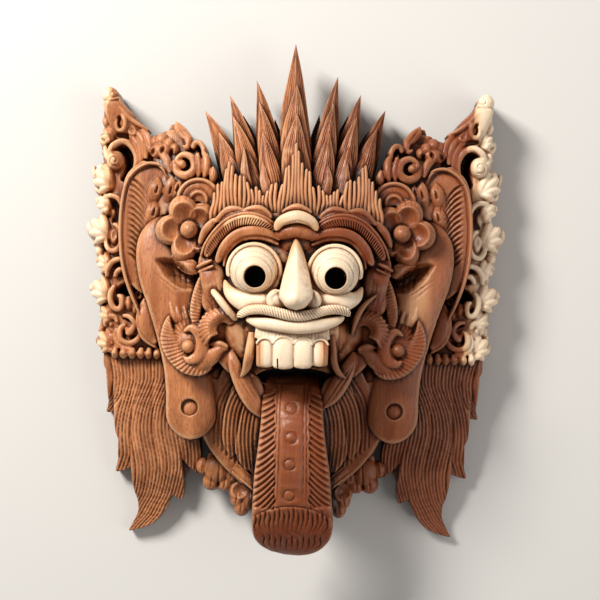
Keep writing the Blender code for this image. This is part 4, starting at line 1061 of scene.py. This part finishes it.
RINGS = (
    # thin curled ribs, as (x, y, top, width)
    ((109.6, 80.8, 28, 1.6), (107.6, 85.6, 30.5, 2.2), (102.4, 88.6, 31, 2.2), (97.4, 86.8, 31, 2.2),
     (93.6, 80.9, 31, 2.2), (93.4, 74.4, 31, 2.2), (96.2, 68.6, 29, 1.2)),
    ((98.0, 92.4, 28, 1.2), (94.0, 88.8, 30.5, 2.2), (90.9, 82.4, 31.5, 2.4), (90.6, 75.0, 31.5, 1.2)),
    ((95.4, 95.6, 28, 1.2), (91.2, 91.4, 31, 2.2), (88.2, 85.0, 32, 2.4), (87.8, 78.4, 32, 1.2)),
    ((91.4, 96.0, 28, 1.2), (87.8, 92.6, 31, 2.2), (85.4, 87.6, 32.5, 2.4), (84.8, 82.0, 33, 1.2)),
    ((103.8, 104.6, 29, 0.7), (101.2, 102.4, 31.5, 1.5), (100.2, 98.8, 31.5, 1.6), (101.6, 95.4, 31, 1.6),
     (104.6, 95.4, 30, 1.5), (105.8, 98.8, 30, 1.2), (104.8, 101.6, 29.5, 0.7)),
    ((115.2, 54.0, 24, 1.2), (108.6, 57.0, 29, 1.8), (103.4, 55.2, 30, 1.8), (100.9, 49.9, 30, 1.8),
     (101.3, 43.9, 29, 1.0)),
    ((106.6, 40.8, 28, 1.2), (102.9, 38.6, 30.5, 1.9), (100.9, 33.0, 31, 1.9), (102.6, 26.9, 30.5, 1.9),
     (106.8, 25.0, 29, 1.9), (110.0, 28.0, 27, 1.9), (110.4, 32.4, 26, 1.0)),
    ((109.4, 9.6, 26, 1.4), (109.0, 14.2, 28, 1.9), (106.2, 18.6, 30, 1.9), (101.6, 20.2, 31, 1.9),
     (96.6, 18.6, 32, 1.9), (92.6, 13.4, 33, 1.6), (91.2, 9.6, 33, 1.0)),
    ((104.8, 9.4, 28, 1.4), (103.2, 13.0, 30, 1.8), (100.2, 14.3, 31, 1.8), (96.6, 12.4, 32, 1.6),
     (93.6, 9.0, 33, 0.8)),
    ((104.4, 5.2, 29, 1.2), (106.6, 1.2, 30, 2.0), (106.9, -3.4, 30, 2.0), (105.2, -7.8, 30, 2.0),
     (102.2, -8.9, 30, 2.0), (100.2, -6.3, 30.5, 2.0), (100.6, -2.0, 30.5, 2.0),
     (103.2, -0.9, 29.5, 1.0)),
    ((110.0, -19.6, 24, 1.4), (109.2, -14.4, 27, 2.4), (104.8, -13.2, 28, 2.2), (102.6, -16.8, 28, 1.2)),
    ((99.8, -12.6, 29, 1.2), (95.4, -13.2, 31, 1.8), (92.2, -17.4, 31.5, 1.8), (94.6, -21.4, 31, 2.4),
     (97.4, -23.4, 30, 1.6)),
    ((97.6, -17.4, 29, 1.4), (100.8, -20.6, 30.5, 2.0), (100.4, -26.2, 31, 2.0), (95.6, -28.6, 31, 2.0),
     (90.6, -26.2, 31, 2.0), (88.4, -21.2, 31, 1.2)),
    ((103.0, -19.6, 28, 1.0), (103.6, -25.8, 29, 1.8), (99.4, -31.0, 30, 1.8), (93.4, -31.8, 30.5, 1.4)),
    ((108.8, -25.0, 26, 1.4), (104.6, -24.6, 28, 2.0), (102.4, -28.6, 28.5, 2.0), (104.6, -32.8, 28, 2.0),
     (108.4, -31.8, 27, 2.0), (108.6, -28.4, 27, 1.2)),
    ((86.0, -1.8, 33, 1.0), (89.4, -9.6, 35, 1.6), (89.6, -18.0, 35, 1.6), (86.4, -25.4, 34.5, 1.6),
     (79.4, -30.6, 33, 1.0)),
)
HORN_BAND = ((106.0, 111.6, 29, 1.0), (103.0, 107.6, 30.5, 2.4), (98.6, 102.6, 30.5, 2.8),
             (92.4, 98.4, 30, 2.6), (86.6, 95.6, 28, 1.0))
WING_LEAVES = (
    # the leaves behind the edge's lobes, as centre x, centre y, top, half width, half height
    (114.0, 66.4, 21, 5.4, 8.6), (114.4, 33.6, 20, 5.0, 9.0), (113.0, 2.6, 19, 4.6, 6.4),
    (111.6, -27.4, 18, 4.4, 6.0), (112.4, 88.4, 22, 3.4, 6.0), (111.4, 79.4, 22, 3.0, 4.4),
    (112.4, 55.4, 21, 4.4, 4.6), (111.2, 102.4, 24, 2.8, 8.0), (112.0, 18.4, 20, 3.8, 4.6),
    (110.4, 10.6, 21, 3.0, 4.0), (111.4, -9.0, 19, 3.6, 4.4), (111.4, -18.0, 19, 3.2, 5.0),
)
WING_LOBES = (
    # centre x, centre y, top, half width, half height, turn in degrees, hollow
    (96.0, 94.6, 31, 3.2, 4.2, 30, 1.6), (102.2, 99.0, 29, 2.2, 3.4, 0, 0),
    (105.9, 77.7, 32, 4.9, 5.6, 0, 0), (112.2, 105.6, 25, 1.5, 2.6, 0, 0),
    (112.2, 100.2, 25, 2.0, 3.4, 20, 0), (113.4, 89.6, 24, 2.6, 3.8, 25, 1.4),
    (112.4, 82.8, 23, 2.2, 1.8, 0, 0), (111.4, 77.6, 23, 1.8, 2.0, 0, 0),
    (119.2, 70.4, 18, 1.5, 4.4, 12, 0), (113.6, 70.8, 25, 3.4, 4.8, 20, 1.6),
    (109.6, 70.4, 26, 2.4, 4.2, -10, 0), (112.4, 65.2, 26, 3.4, 2.6, 0, 0),
    (115.4, 61.6, 22, 3.0, 3.4, 35, 1.2), (110.8, 61.8, 25, 2.6, 3.2, 0, 1.2),
    (115.2, 54.4, 22, 2.8, 2.8, 30, 1.0), (110.4, 48.6, 28, 2.2, 2.4, 0, 0),
    (119.0, 36.4, 20, 3.2, 5.6, 28, 0), (114.2, 37.6, 24, 2.0, 6.4, 8, 0),
    (110.8, 38.8, 26, 1.7, 5.4, 0, 0), (117.8, 29.8, 18, 1.8, 2.0, 0, 0),
    (114.8, 30.6, 22, 1.8, 4.6, 10, 0), (114.8, 24.8, 22, 2.6, 3.2, 20, 0),
    (105.6, 33.4, 29, 2.8, 5.4, 0, 1.4), (113.4, 19.8, 22, 3.4, 3.0, 10, 1.4),
    (111.6, 12.6, 22, 2.4, 2.2, 0, 0), (110.6, 8.6, 24, 2.0, 2.6, 0, 0),
    (116.6, 4.0, 20, 4.0, 3.0, 20, 0), (110.8, 3.8, 24, 2.6, 2.6, 0, 0.8),
    (114.6, -1.2, 20, 3.0, 1.8, 10, 0), (112.4, -5.4, 21, 2.6, 2.4, 15, 0),
    (111.0, -10.2, 22, 2.6, 3.0, 15, 0), (90.5, -0.6, 33, 3.0, 3.0, 0, 1.6),
    (96.4, -5.8, 30, 2.4, 4.4, 8, 0), (92.0, -8.4, 31, 2.2, 4.0, -6, 0),
    (106.4, -17.8, 27, 1.8, 2.2, 0, 0), (96.6, -20.8, 30, 2.2, 2.2, 0, 0),
    (105.6, -28.8, 27.5, 1.6, 1.8, 0, 0), (113.0, -27.4, 19, 3.4, 2.6, 25, 0),
    (110.6, -32.2, 20, 2.4, 3.0, 30, 0), (113.2, -21.6, 19, 1.8, 2.2, 0, 0),
)
EDGE_LEAVES = (
    # clusters of pointed leaves, as tip x, tip y, size
    (118.8, 70.5, 1.0), (120.6, 41.0, 1.0), (118.6, 5.0, 0.95), (114.6, -24.5, 0.85),
    (114.6, 95.0, 0.6), (116.6, 55.0, 0.7), (115.6, 20.5, 0.7), (113.6, -9.0, 0.7),
)
# one cluster's leaves, as the tip's place from the cluster's and the leaf's width
LEAF_TIPS = ((-7.6, 6.2, 4.8), (-1.6, 3.0, 5.6), (0.2, -3.6, 5.2), (-3.0, -9.6, 4.6))
DROPS = ((103.6, 3.6), (98.6, 4.6), (93.6, 4.6), (88.6, 4.2), (84.0, 3.8), (79.2, 3.8))
STALK_X = 109
for side, name in SIDES:
    strand(((86, 74, 25, 10), (92, 86, 27, 14), (99.8, 97, 29, 16.6), (106.2, 106.4, 30.5, 12.6),
            (109.2, 113, 30.5, 10)), foot=2, fullness=2.2, dome=0.3, across=0.8, tip="flat", side=side)
    for x, y, top, across, up in WING_LEAVES:
        lump(side * x, y, top - 8, across, up, 8)
    strand(((102, 92, 23, 12), (99.8, 78, 24, 20), (100.4, 60, 24.5, 17), (102.4, 45, 24, 14),
            (100.8, 28, 24.5, 17), (98.2, 8, 25, 22), (96.8, -12, 26, 25), (94.6, -28, 26, 27),
            (93, -35, 25, 26)), foot=0, fullness=2.4, dome=0.2, across=1, step=1, tip="flat", side=side)
    for x, y, top, *_ in WING_LOBES:
        if x > STALK_X:
            strand(((x - 9, y - 3.5, top - 4, 4.4), (x - 4, y - 1.6, top - 3, 4), (x, y, top - 3.5, 2.4)),
                   foot=1, dome=0.4, tip="round", side=side)
    body = gather("wing_body", grain=0.7, soften=1)
    gouge(body, VOIDS, steep=3, side=side)
    gouge(ground, [[(x, y, max(deep - 7, 0), width) for x, y, deep, width in route] for route in VOIDS],
          steep=3, side=side)
    pieces.remove(body)
    loose.append(body)
    band(((109.2, 110.4, 28, 9), (109.6, 115.6, 29.5, 9.6), (110, 120.6, 27, 7.6)), foot=4, side=side)
    strand(((112.6, 86.0, 25, 2), (110.6, 80.4, 28, 4.4), (107.4, 78.4, 31, 4.4)), foot=8, side=side)
    for route in RINGS:
        strand([(x, y, top, width * 1.55) for x, y, top, width in route], foot=8, dome=0.42, root="point",
               step=0.5, across=0.4, side=side)
    strand(HORN_BAND, foot=8, root="point", step=0.5, across=0.4, side=side)
    for x, y, top, across, up, turn, hollow_depth in WING_LOBES:
        more = 1.22 if x > 108 else 1.05
        lump(side * x, y, top - 7, across * more, up * more, 7, turn=-side * math.radians(turn),
             segments=28, rings=18, carve=lambda east, north, deep=hollow_depth: deep * 1.6
             * np.clip(1 - (east ** 2 + (north - 0.15) ** 2) / 0.3, 0, 1))
    for x, y, size in EDGE_LEAVES:
        for out, up, width in LEAF_TIPS:
            strand(((x - 12 * size, y - 8.6 * size, 25, 2.2 * size),
                    (x + (out * 0.5 - 6) * size, y + (up * 0.45 - 4.6) * size, 27.5, width * size),
                    (x + (out * 0.82 - 1.4) * size, y + (up * 0.9 - 1.6) * size, 25, width * size * 0.9),
                    (x + out * size, y + up * size, 21, 0.8)),
                   foot=8, fullness=1.5, across=0.45, side=side)
    for drop_x, width in DROPS:
        strand(((drop_x - 0.5, -31, 30, 2), (drop_x, -34.4, 32, width),
                (drop_x + 0.3, -37.8, 28, width * 0.7)), foot=6, tip="round", side=side)
    strand(((85.6, -4, 34, 1), (86, -11, 37, 7), (84, -20, 37, 8.4), (79.6, -28.5, 35, 2)), foot=8,
           fullness=2.4, dome=0.2, root="point", side=side)
    wing = gather("wing_" + name, grain=0.48, soften=1, bark=0.6 if side < 0 else 0.0)
    gouge(wing, [((112.6, 112.8, 0.6, 0.8), (108.6, 111.9, 1.2, 1.2), (104.6, 112.6, 1.8, 1.6)),
                 scroll(107.4, 116.4, 3.0, 1.2, 120, 0.9, 1.0, 1.1),
                 scroll(106.0, 77.4, 3.4, 0.9, 250, 1.0, 1.2, 1.2),
                 ((90.5, -0.2, 2.4, 2.4), (90.5, -0.9, 2.4, 2.4))], side=side)

# %% [markdown]
# Between each ear and the crown grows a tuft of leaves round another scroll.

# %% Shoulder leaves
SHOULDER_STRANDS = (
    ((70.9, 100.8, 30, 1.6), (69.2, 97.0, 33, 5.4), (66.0, 93.4, 36, 6.0), (63.0, 89.6, 38, 4.8),
     (63.6, 85.4, 38.5, 3.6), (66.4, 86.2, 38.5, 2.2)),
    ((70.6, 77.4, 42, 3.0), (68.6, 70.6, 45, 4.2), (63.2, 68.4, 46.5, 4.6), (58.6, 72.0, 46.5, 4.6),
     (59.6, 78.0, 45.5, 4.2), (64.6, 80.4, 44.5, 3.4), (68.6, 77.6, 44.5, 2.6), (67.6, 74.2, 45, 2.0)),
    ((60.2, 84.0, 41, 2.4), (58.6, 87.4, 42, 3.0), (55.6, 87.2, 43, 3.0), (53.6, 83.6, 44, 2.8),
     (54.2, 79.6, 45, 1.2)),
    ((56.6, 66.4, 46, 1.4), (55.4, 72.0, 47, 3.0), (56.4, 78.4, 46, 2.6), (57.6, 83.0, 44, 0.8)),
    ((53.0, 66.0, 47, 1.4), (51.6, 71.6, 48.5, 4.0), (51.8, 77.6, 47.5, 4.4), (53.6, 82.6, 45, 1.6)),
    ((48.6, 63.6, 48, 2.0), (47.6, 68.6, 49.5, 4.2), (47.8, 73.6, 48, 1.6)),
    ((72.4, 70.0, 42, 3.0), (74.4, 76.4, 41, 4.6), (77.6, 81.2, 39, 4.6), (80.4, 84.4, 37, 2.0)),
)
SHOULDER_LOBES = (
    # the broad leaf, as centre x, centre y, top, half width, half height
    (85.4, 84.6, 33, 3.6, 4.2), (82.6, 88.0, 33.5, 4.0, 4.4), (78.6, 89.4, 35, 4.6, 4.6),
    (74.6, 86.8, 37, 4.0, 4.4), (71.0, 84.2, 38, 3.0, 3.8), (78.4, 83.0, 38, 7.0, 5.0),
)
SHOULDER_DROPS = ((83.2, 82.6), (77.6, 83.4), (72.4, 82.4))
for side, name in SIDES:
    for route in SHOULDER_STRANDS:
        band(route, foot=12, step=0.5, across=0.45, side=side)
    for x, y, top, across, up in SHOULDER_LOBES:
        lump(side * x, y, top - 8, across, up, 8)
    lump(side * 66.0, 74.8, 41.5, 2.6, 2.6, 4.6)
    strand(((72, 100, 22, 5), (69, 84, 29, 20), (66, 70, 33, 27), (63, 60, 30, 26)), foot=0, fullness=3,
           dome=0.15, across=1, step=1.5, tip="flat", side=side)
    shoulder = gather("shoulder_" + name, grain=0.48, soften=1, bark=-12)
    gouge(shoulder, [((x - 0.6, y + 1.6, 1.2, 1.8), (x, y, 4.0, 3.4), (x + 0.5, y - 1.8, 2.0, 2.0))
                     for x, y in SHOULDER_DROPS]
          + [((67.4, 90.4, 1.0, 1.4), (66.0, 88.4, 5.0, 3.0), (65.0, 86.8, 3.0, 2.0)),
             ((57.4, 84.8, 4.0, 2.6), (57.0, 82.0, 4.0, 2.4)),
             ((70.0, 98.6, 0.4, 0.9), (67.4, 94.8, 1.0, 1.2), (64.8, 91.0, 0.6, 1.0)),
             ((75.8, 73.0, 0.4, 1.2), (78.6, 77.6, 1.4, 1.6), (81.6, 80.4, 0.4, 1.0))], side=side)

# %% [markdown]
# Readings of the finished relief steer the colour: how deep each point lies in a crevice, for painted
# shade and stain, how far it stands out as an edge, for wear and a painted highlight, how far it lies
# towards the bark, where the wood turns pale, and how dark the brown is, mostly painted shade that is
# strongest on the right, away from the light.

# %% Read the relief
CELL = 0.75
GRID_X = 374
GRID_Y = 440


def cell_of(co):
    """Which cell of the height map each point lies over."""
    column = np.clip((co[:, 0] / CELL + GRID_X / 2).astype(int), 0, GRID_X - 1)
    row = np.clip((co[:, 1] / CELL + GRID_Y / 2).astype(int), 0, GRID_Y - 1)
    return column, row


def blurred(field, radius):
    """A field smoothed by three passes of a running mean."""
    for _ in range(3):
        for axis in (0, 1):
            total = np.cumsum(np.pad(field, [(radius + 1, radius) if side == axis else (0, 0)
                                             for side in (0, 1)], mode="edge"), axis=axis)
            size = 2 * radius + 1
            field = (np.take(total, range(size, total.shape[axis]), axis=axis)
                     - np.take(total, range(0, total.shape[axis] - size), axis=axis)) / size
    return field


height = np.zeros((GRID_X, GRID_Y))
for piece in pieces:
    co = coordinates(piece.data) / MM
    np.maximum.at(height, cell_of(co), co[:, 2])
for _ in range(2):
    spread = height.copy()
    for shift_x, shift_y in ((1, 0), (-1, 0), (0, 1), (0, -1)):
        spread = np.maximum(spread, np.roll(height, (shift_x, shift_y), (0, 1)))
    height = np.where(height > 0, height, spread)
near = blurred(height, 1)
wide = blurred(height, 5)
print("height map:", height.shape, "highest", round(float(height.max()), 1), "mm")

# %% [markdown]
# The remeshed pieces hold far more triangles than their flat stretches need. Collapsing the ones
# that add no shape keeps the carving sharp and the whole mask under a million.

# %% Thin the flat stretches out
TRIANGLES = 900000
DENSE = 20000


def triangles_of(piece):
    """How many triangles a piece's faces make."""
    corners = np.empty(len(piece.data.polygons), dtype=np.int32)
    piece.data.polygons.foreach_get("loop_total", corners)
    return int(corners.sum() - 2 * len(corners))


counts = [triangles_of(piece) for piece in pieces]
share = TRIANGLES / sum(counts)
for piece, count in zip(pieces, counts):
    if count > DENSE:
        apply_modifier(piece, "DECIMATE", ratio=share)
print("all triangles:", sum(counts), "thinned to", sum(triangles_of(piece) for piece in pieces))

# %% [markdown]
# The readings are written on the points as named numbers, which the material can look up. The wood
# turns pale beyond a certain distance from the heart of the log, which lay behind the mask.

# %% Write the readings on every point
LOG_X = -4.5
LOG_Z = -44.5
SAPWOOD_RADIUS = 127.5
DARKEST = 0.92


def write_reading(piece, name, values):
    """Keep one number for each point of a piece."""
    attribute = piece.data.attributes.new(name, "FLOAT", "POINT")
    attribute.data.foreach_set("value", values.astype(np.float32))


for piece in pieces:
    co = coordinates(piece.data) / MM
    column, row = cell_of(co)
    fine = near[column, row] - co[:, 2]
    broad = wide[column, row] - co[:, 2]
    # Painted shade and stain: the deeper a point lies below its blurred neighbours, the darker it turns.
    crevice = np.clip((fine - 0.25) / 1.1, 0, 1) * 0.65 + np.clip(broad / 11, 0, 1) * 0.6
    if piece.name.startswith("wing"):
        crevice *= 0.72
    write_reading(piece, "crevice", np.clip(crevice, 0, 1))
    # Edges lighten as wear and as a painted highlight, and pieces with a dark below 0 get painted light
    # above the jaw.
    edge = -fine / 0.8 - 1.6 * min(piece["dark"], 0) * np.clip((co[:, 1] + 50) / 30, 0, 1)
    ear_highlight = np.zeros(len(co))
    # A painted highlight on the right ear's lower front.
    if piece.name == "ear_right":
        ear_highlight = np.exp(-((co[:, 0] - 69.0 - 0.25 * co[:, 1]) / 6.5) ** 2
                              - ((co[:, 1] + 6) / 16) ** 2)
        edge += 1.3 * ear_highlight
    write_reading(piece, "edge", np.clip(edge, 0, 1))
    # Painted shade: the brown grows darker towards the right side, away from the key light.
    right_side_shade = np.clip((co[:, 0] + 35) / 95, 0, 1)
    low_tongue = np.clip((-108 - co[:, 1]) / 24, 0, 1) * (np.abs(co[:, 0]) < 30)
    dark = (0.78 * right_side_shade ** 2 * (3 - 2 * right_side_shade) + 0.35 * low_tongue + piece["dark"]
            - 0.8 * ear_highlight)
    write_reading(piece, "dark", np.clip(dark, 0, DARKEST))
    from_heart = np.sqrt((co[:, 0] - LOG_X) ** 2 + (co[:, 2] - LOG_Z) ** 2)
    sapwood = from_heart - SAPWOOD_RADIUS + piece["bark"]
    if piece.name == "teeth":
        sapwood -= (3.4 * np.clip(np.abs(co[:, 0] + 0.8) - 12.6, 0, 9)
                    + 6 * np.clip(-36.6 - co[:, 1], 0, 3))
    if piece.name.startswith("wing"):
        sapwood -= 3 * np.clip((co[:, 1] - 90) / 6, 0, 1) * np.clip((115 - co[:, 1]) / 4, 0, 1)
        sapwood = np.where(sapwood > 0, sapwood * 2.4, sapwood)
    write_reading(piece, "sapwood", sapwood)
print("readings on", sum(len(piece.data.vertices) for piece in pieces), "points")

# %% [markdown]
# The grain runs up the mask. Rings of the log show as broad soft bands, its fibre as fine streaks
# and its pores as short dark flecks.

# %% Grain group
def node(tree, kind, **settings):
    """A new node with these settings."""
    made = tree.nodes.new(kind)
    for name, value in settings.items():
        setattr(made, name, value)
    return made


def feed(tree, socket, value):
    """Give a socket a number or a colour, or link it to another socket."""
    if isinstance(value, (int, float, tuple)):
        socket.default_value = value
    else:
        tree.links.new(value, socket)


def math_node(tree, operation, first, second):
    """A math node fed by sockets or numbers."""
    made = node(tree, "ShaderNodeMath", operation=operation)
    for socket, value in zip(made.inputs, (first, second)):
        feed(tree, socket, value)
    return made.outputs[0]


def ramp(tree, value, low, high, to_low=0.0, to_high=1.0, curve="LINEAR"):
    """A value carried from the range low to high over to another range, and held there."""
    made = node(tree, "ShaderNodeMapRange", interpolation_type=curve)
    for name, setting in (("Value", value), ("From Min", low), ("From Max", high), ("To Min", to_low),
                          ("To Max", to_high)):
        feed(tree, made.inputs[name], setting)
    return made.outputs["Result"]


def mix_colour(tree, factor, first, second):
    """A colour mix fed by sockets or colours."""
    made = node(tree, "ShaderNodeMix", data_type="RGBA")
    for index, value in ((0, factor), (6, first), (7, second)):
        feed(tree, made.inputs[index], value)
    return made.outputs[2]


grain_group = bpy.data.node_groups.new("wood_grain", "ShaderNodeTree")
for output in ("Figure", "Fibre", "Pores"):
    grain_group.interface.new_socket(output, in_out="OUTPUT", socket_type="NodeSocketFloat")
outside = node(grain_group, "NodeGroupOutput")
place = node(grain_group, "ShaderNodeTexCoord")
stretched = node(grain_group, "ShaderNodeMapping")
stretched.inputs["Scale"].default_value = (1.0, 0.09, 1.0)
grain_group.links.new(place.outputs["Object"], stretched.inputs["Vector"])
for output, scale, detail, rough in (("Figure", 110.0, 3.0, 0.55), ("Fibre", 1100.0, 3.0, 0.6)):
    noise = node(grain_group, "ShaderNodeTexNoise")
    noise.inputs["Scale"].default_value = scale
    noise.inputs["Detail"].default_value = detail
    noise.inputs["Roughness"].default_value = rough
    grain_group.links.new(stretched.outputs["Vector"], noise.inputs["Vector"])
    feed(grain_group, outside.inputs[output], ramp(grain_group, noise.outputs["Fac"], 0.32, 0.68))
fleck_place = node(grain_group, "ShaderNodeMapping")
fleck_place.inputs["Scale"].default_value = (1.0, 0.14, 1.0)
grain_group.links.new(place.outputs["Object"], fleck_place.inputs["Vector"])
flecks = node(grain_group, "ShaderNodeTexVoronoi", feature="F1")
flecks.inputs["Scale"].default_value = 900.0
grain_group.links.new(fleck_place.outputs["Vector"], flecks.inputs["Vector"])
feed(grain_group, outside.inputs["Pores"],
     ramp(grain_group, flecks.outputs["Distance"], 0.10, 0.26, to_low=1.0, to_high=0.0))
print("wood grain:", [item.name for item in grain_group.interface.items_tree])

# %% [markdown]
# One material serves the whole mask, as one block of wood does. It mixes heartwood and sapwood by
# the sapwood reading, darkens the crevices with painted shade and stain, and lightens the edges with
# wear and a painted highlight.

# %% Carved wood
DEEP_HEART = (0.31, 0.090, 0.028, 1)
BRIGHT_HEART = (0.70, 0.28, 0.112, 1)
FIBRE_BROWN = (0.20, 0.052, 0.016, 1)
PORE_BROWN = (0.11, 0.030, 0.010, 1)
# Painted shade, with a darker tone in some pieces: the deep red that the dark reading mixes in.
DARK_RED_AND_SHADE = (0.20, 0.036, 0.008, 1)
TAN = (0.72, 0.41, 0.20, 1)
CREAM = (0.93, 0.77, 0.58, 1)
PALE_FIGURE = (0.74, 0.48, 0.27, 1)
PALE_PORE = (0.45, 0.24, 0.10, 1)
# Painted shade and stain for the crevices, then wear and a painted highlight for the edges.
HEART_STAIN_AND_SHADE = (0.030, 0.007, 0.002, 1)
PALE_STAIN_AND_SHADE = (0.22, 0.075, 0.022, 1)
EDGE_WEAR_AND_HIGHLIGHT = (0.90, 0.56, 0.31, 1)
wood = bpy.data.materials.new("carved_wood")
wood.use_nodes = True
tree = wood.node_tree
surface = tree.nodes["Principled BSDF"]
grain = node(tree, "ShaderNodeGroup")
grain.node_tree = grain_group


def reading(name):
    """The socket of a reading written on the points."""
    return node(tree, "ShaderNodeAttribute", attribute_name=name).outputs["Fac"]


figure = grain.outputs["Figure"]
fibre = grain.outputs["Fibre"]
pores = grain.outputs["Pores"]
heart = mix_colour(tree, figure, DEEP_HEART, BRIGHT_HEART)
heart = mix_colour(tree, math_node(tree, "MULTIPLY", fibre, 0.45), heart, FIBRE_BROWN)
heart = mix_colour(tree, math_node(tree, "MULTIPLY", pores, 0.7), heart, PORE_BROWN)
# Painted shade, with a darker tone in some pieces: the dark reading turns the heartwood deep red.
heart = mix_colour(tree, reading("dark"), heart, DARK_RED_AND_SHADE)
barkward = ramp(tree, reading("sapwood"), 0.5, 9.0, curve="SMOOTHSTEP")
pale = mix_colour(tree, barkward, TAN, CREAM)
pale = mix_colour(tree, math_node(tree, "MULTIPLY", figure, 0.35), pale, PALE_FIGURE)
pale = mix_colour(tree, math_node(tree, "MULTIPLY", pores, 0.18), pale, PALE_PORE)
border = math_node(tree, "ADD", reading("sapwood"), math_node(tree, "MULTIPLY", figure, 2.0))
paleness = ramp(tree, border, 0.4, 1.8, curve="SMOOTHSTEP")
colour = mix_colour(tree, paleness, heart, pale)
# Painted shade and stain darken the crevices.
stained_shaded_heart = mix_colour(tree, reading("crevice"), colour, HEART_STAIN_AND_SHADE)
stained_shaded_pale = mix_colour(tree, reading("crevice"), colour, PALE_STAIN_AND_SHADE)
colour = mix_colour(tree, paleness, stained_shaded_heart, stained_shaded_pale)
# Wear and a painted highlight lighten the edges.
edge_wear_and_highlight = math_node(tree, "MULTIPLY", reading("edge"),
                   math_node(tree, "SUBTRACT", 0.42, math_node(tree, "MULTIPLY", reading("dark"), 0.3)))
colour = mix_colour(tree, edge_wear_and_highlight, colour, EDGE_WEAR_AND_HIGHLIGHT)
tree.links.new(colour, surface.inputs["Base Color"])
surface.inputs["Specular IOR Level"].default_value = 0.42
tree.links.new(ramp(tree, fibre, 0.0, 1.0, to_low=0.30, to_high=0.50), surface.inputs["Roughness"])
bump = node(tree, "ShaderNodeBump")
bump.inputs["Strength"].default_value = 0.25
bump.inputs["Distance"].default_value = 0.0004
relief = math_node(tree, "SUBTRACT", fibre, math_node(tree, "MULTIPLY", pores, 0.7))
tree.links.new(relief, bump.inputs["Height"])
tree.links.new(bump.outputs["Normal"], surface.inputs["Normal"])

for piece in pieces:
    piece.data.materials.clear()
    piece.data.materials.append(wood)
    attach(piece, "root")
    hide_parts("mask")
print("carved wood on", len(pieces), "pieces")

# %% [markdown]
# A plain pale floor, a large soft light from the upper left and a camera straight above, a little
# turned and off the middle, show the mask as the photograph does.

# %% Floor, light and camera
bpy.ops.mesh.primitive_plane_add(size=6, location=(0, 0, 0))
floor = bpy.context.object
floor.name = "floor"
floor_paint = bpy.data.materials.new("floor_paint")
floor_paint.use_nodes = True
floor_surface = floor_paint.node_tree.nodes["Principled BSDF"]
floor_surface.inputs["Base Color"].default_value = (0.72, 0.71, 0.69, 1)
floor_surface.inputs["Roughness"].default_value = 0.7
floor.data.materials.append(floor_paint)
AIM_HEIGHT = 0.05


def soft_light(name, location, size, power, colour):
    """A square soft light that points at the mask."""
    bpy.ops.object.light_add(type="AREA", location=location)
    lamp = bpy.context.object
    lamp.name = name
    lamp.data.size = size
    lamp.data.energy = power
    lamp.data.color = colour
    reach = math.hypot(location[0], location[1])
    lamp.rotation_euler = (math.atan2(reach, location[2] - AIM_HEIGHT), 0,
                           math.atan2(location[1], location[0]) + math.pi / 2)


soft_light("key", (-0.75, 0.75, 0.85), 0.4, 25.5, (1.0, 0.96, 0.9))
soft_light("fill", (0.95, -0.2, 0.75), 1.0, 4.8, (1.0, 0.95, 0.92))
world = bpy.data.worlds.new("studio")
world.use_nodes = True
background = world.node_tree.nodes["Background"]
background.inputs["Color"].default_value = (1.0, 0.97, 0.94, 1)
background.inputs["Strength"].default_value = 0.21
bpy.context.scene.world = world
bpy.context.scene.view_settings.view_transform = "Standard"

CAMERA_HEIGHT = 0.9
FIELD = 0.36
camera_data = bpy.data.cameras.new("camera")
camera = bpy.data.objects.new("camera", camera_data)
bpy.context.scene.collection.objects.link(camera)
camera.location = at(3.3, -1.4, CAMERA_HEIGHT / MM)
camera.rotation_euler = (0, 0, math.radians(1.2))
camera_data.angle = 2 * math.atan(FIELD / 2 / CAMERA_HEIGHT)
camera_data.clip_end = 10
bpy.context.scene.camera = camera
print("camera at", tuple(camera.location))
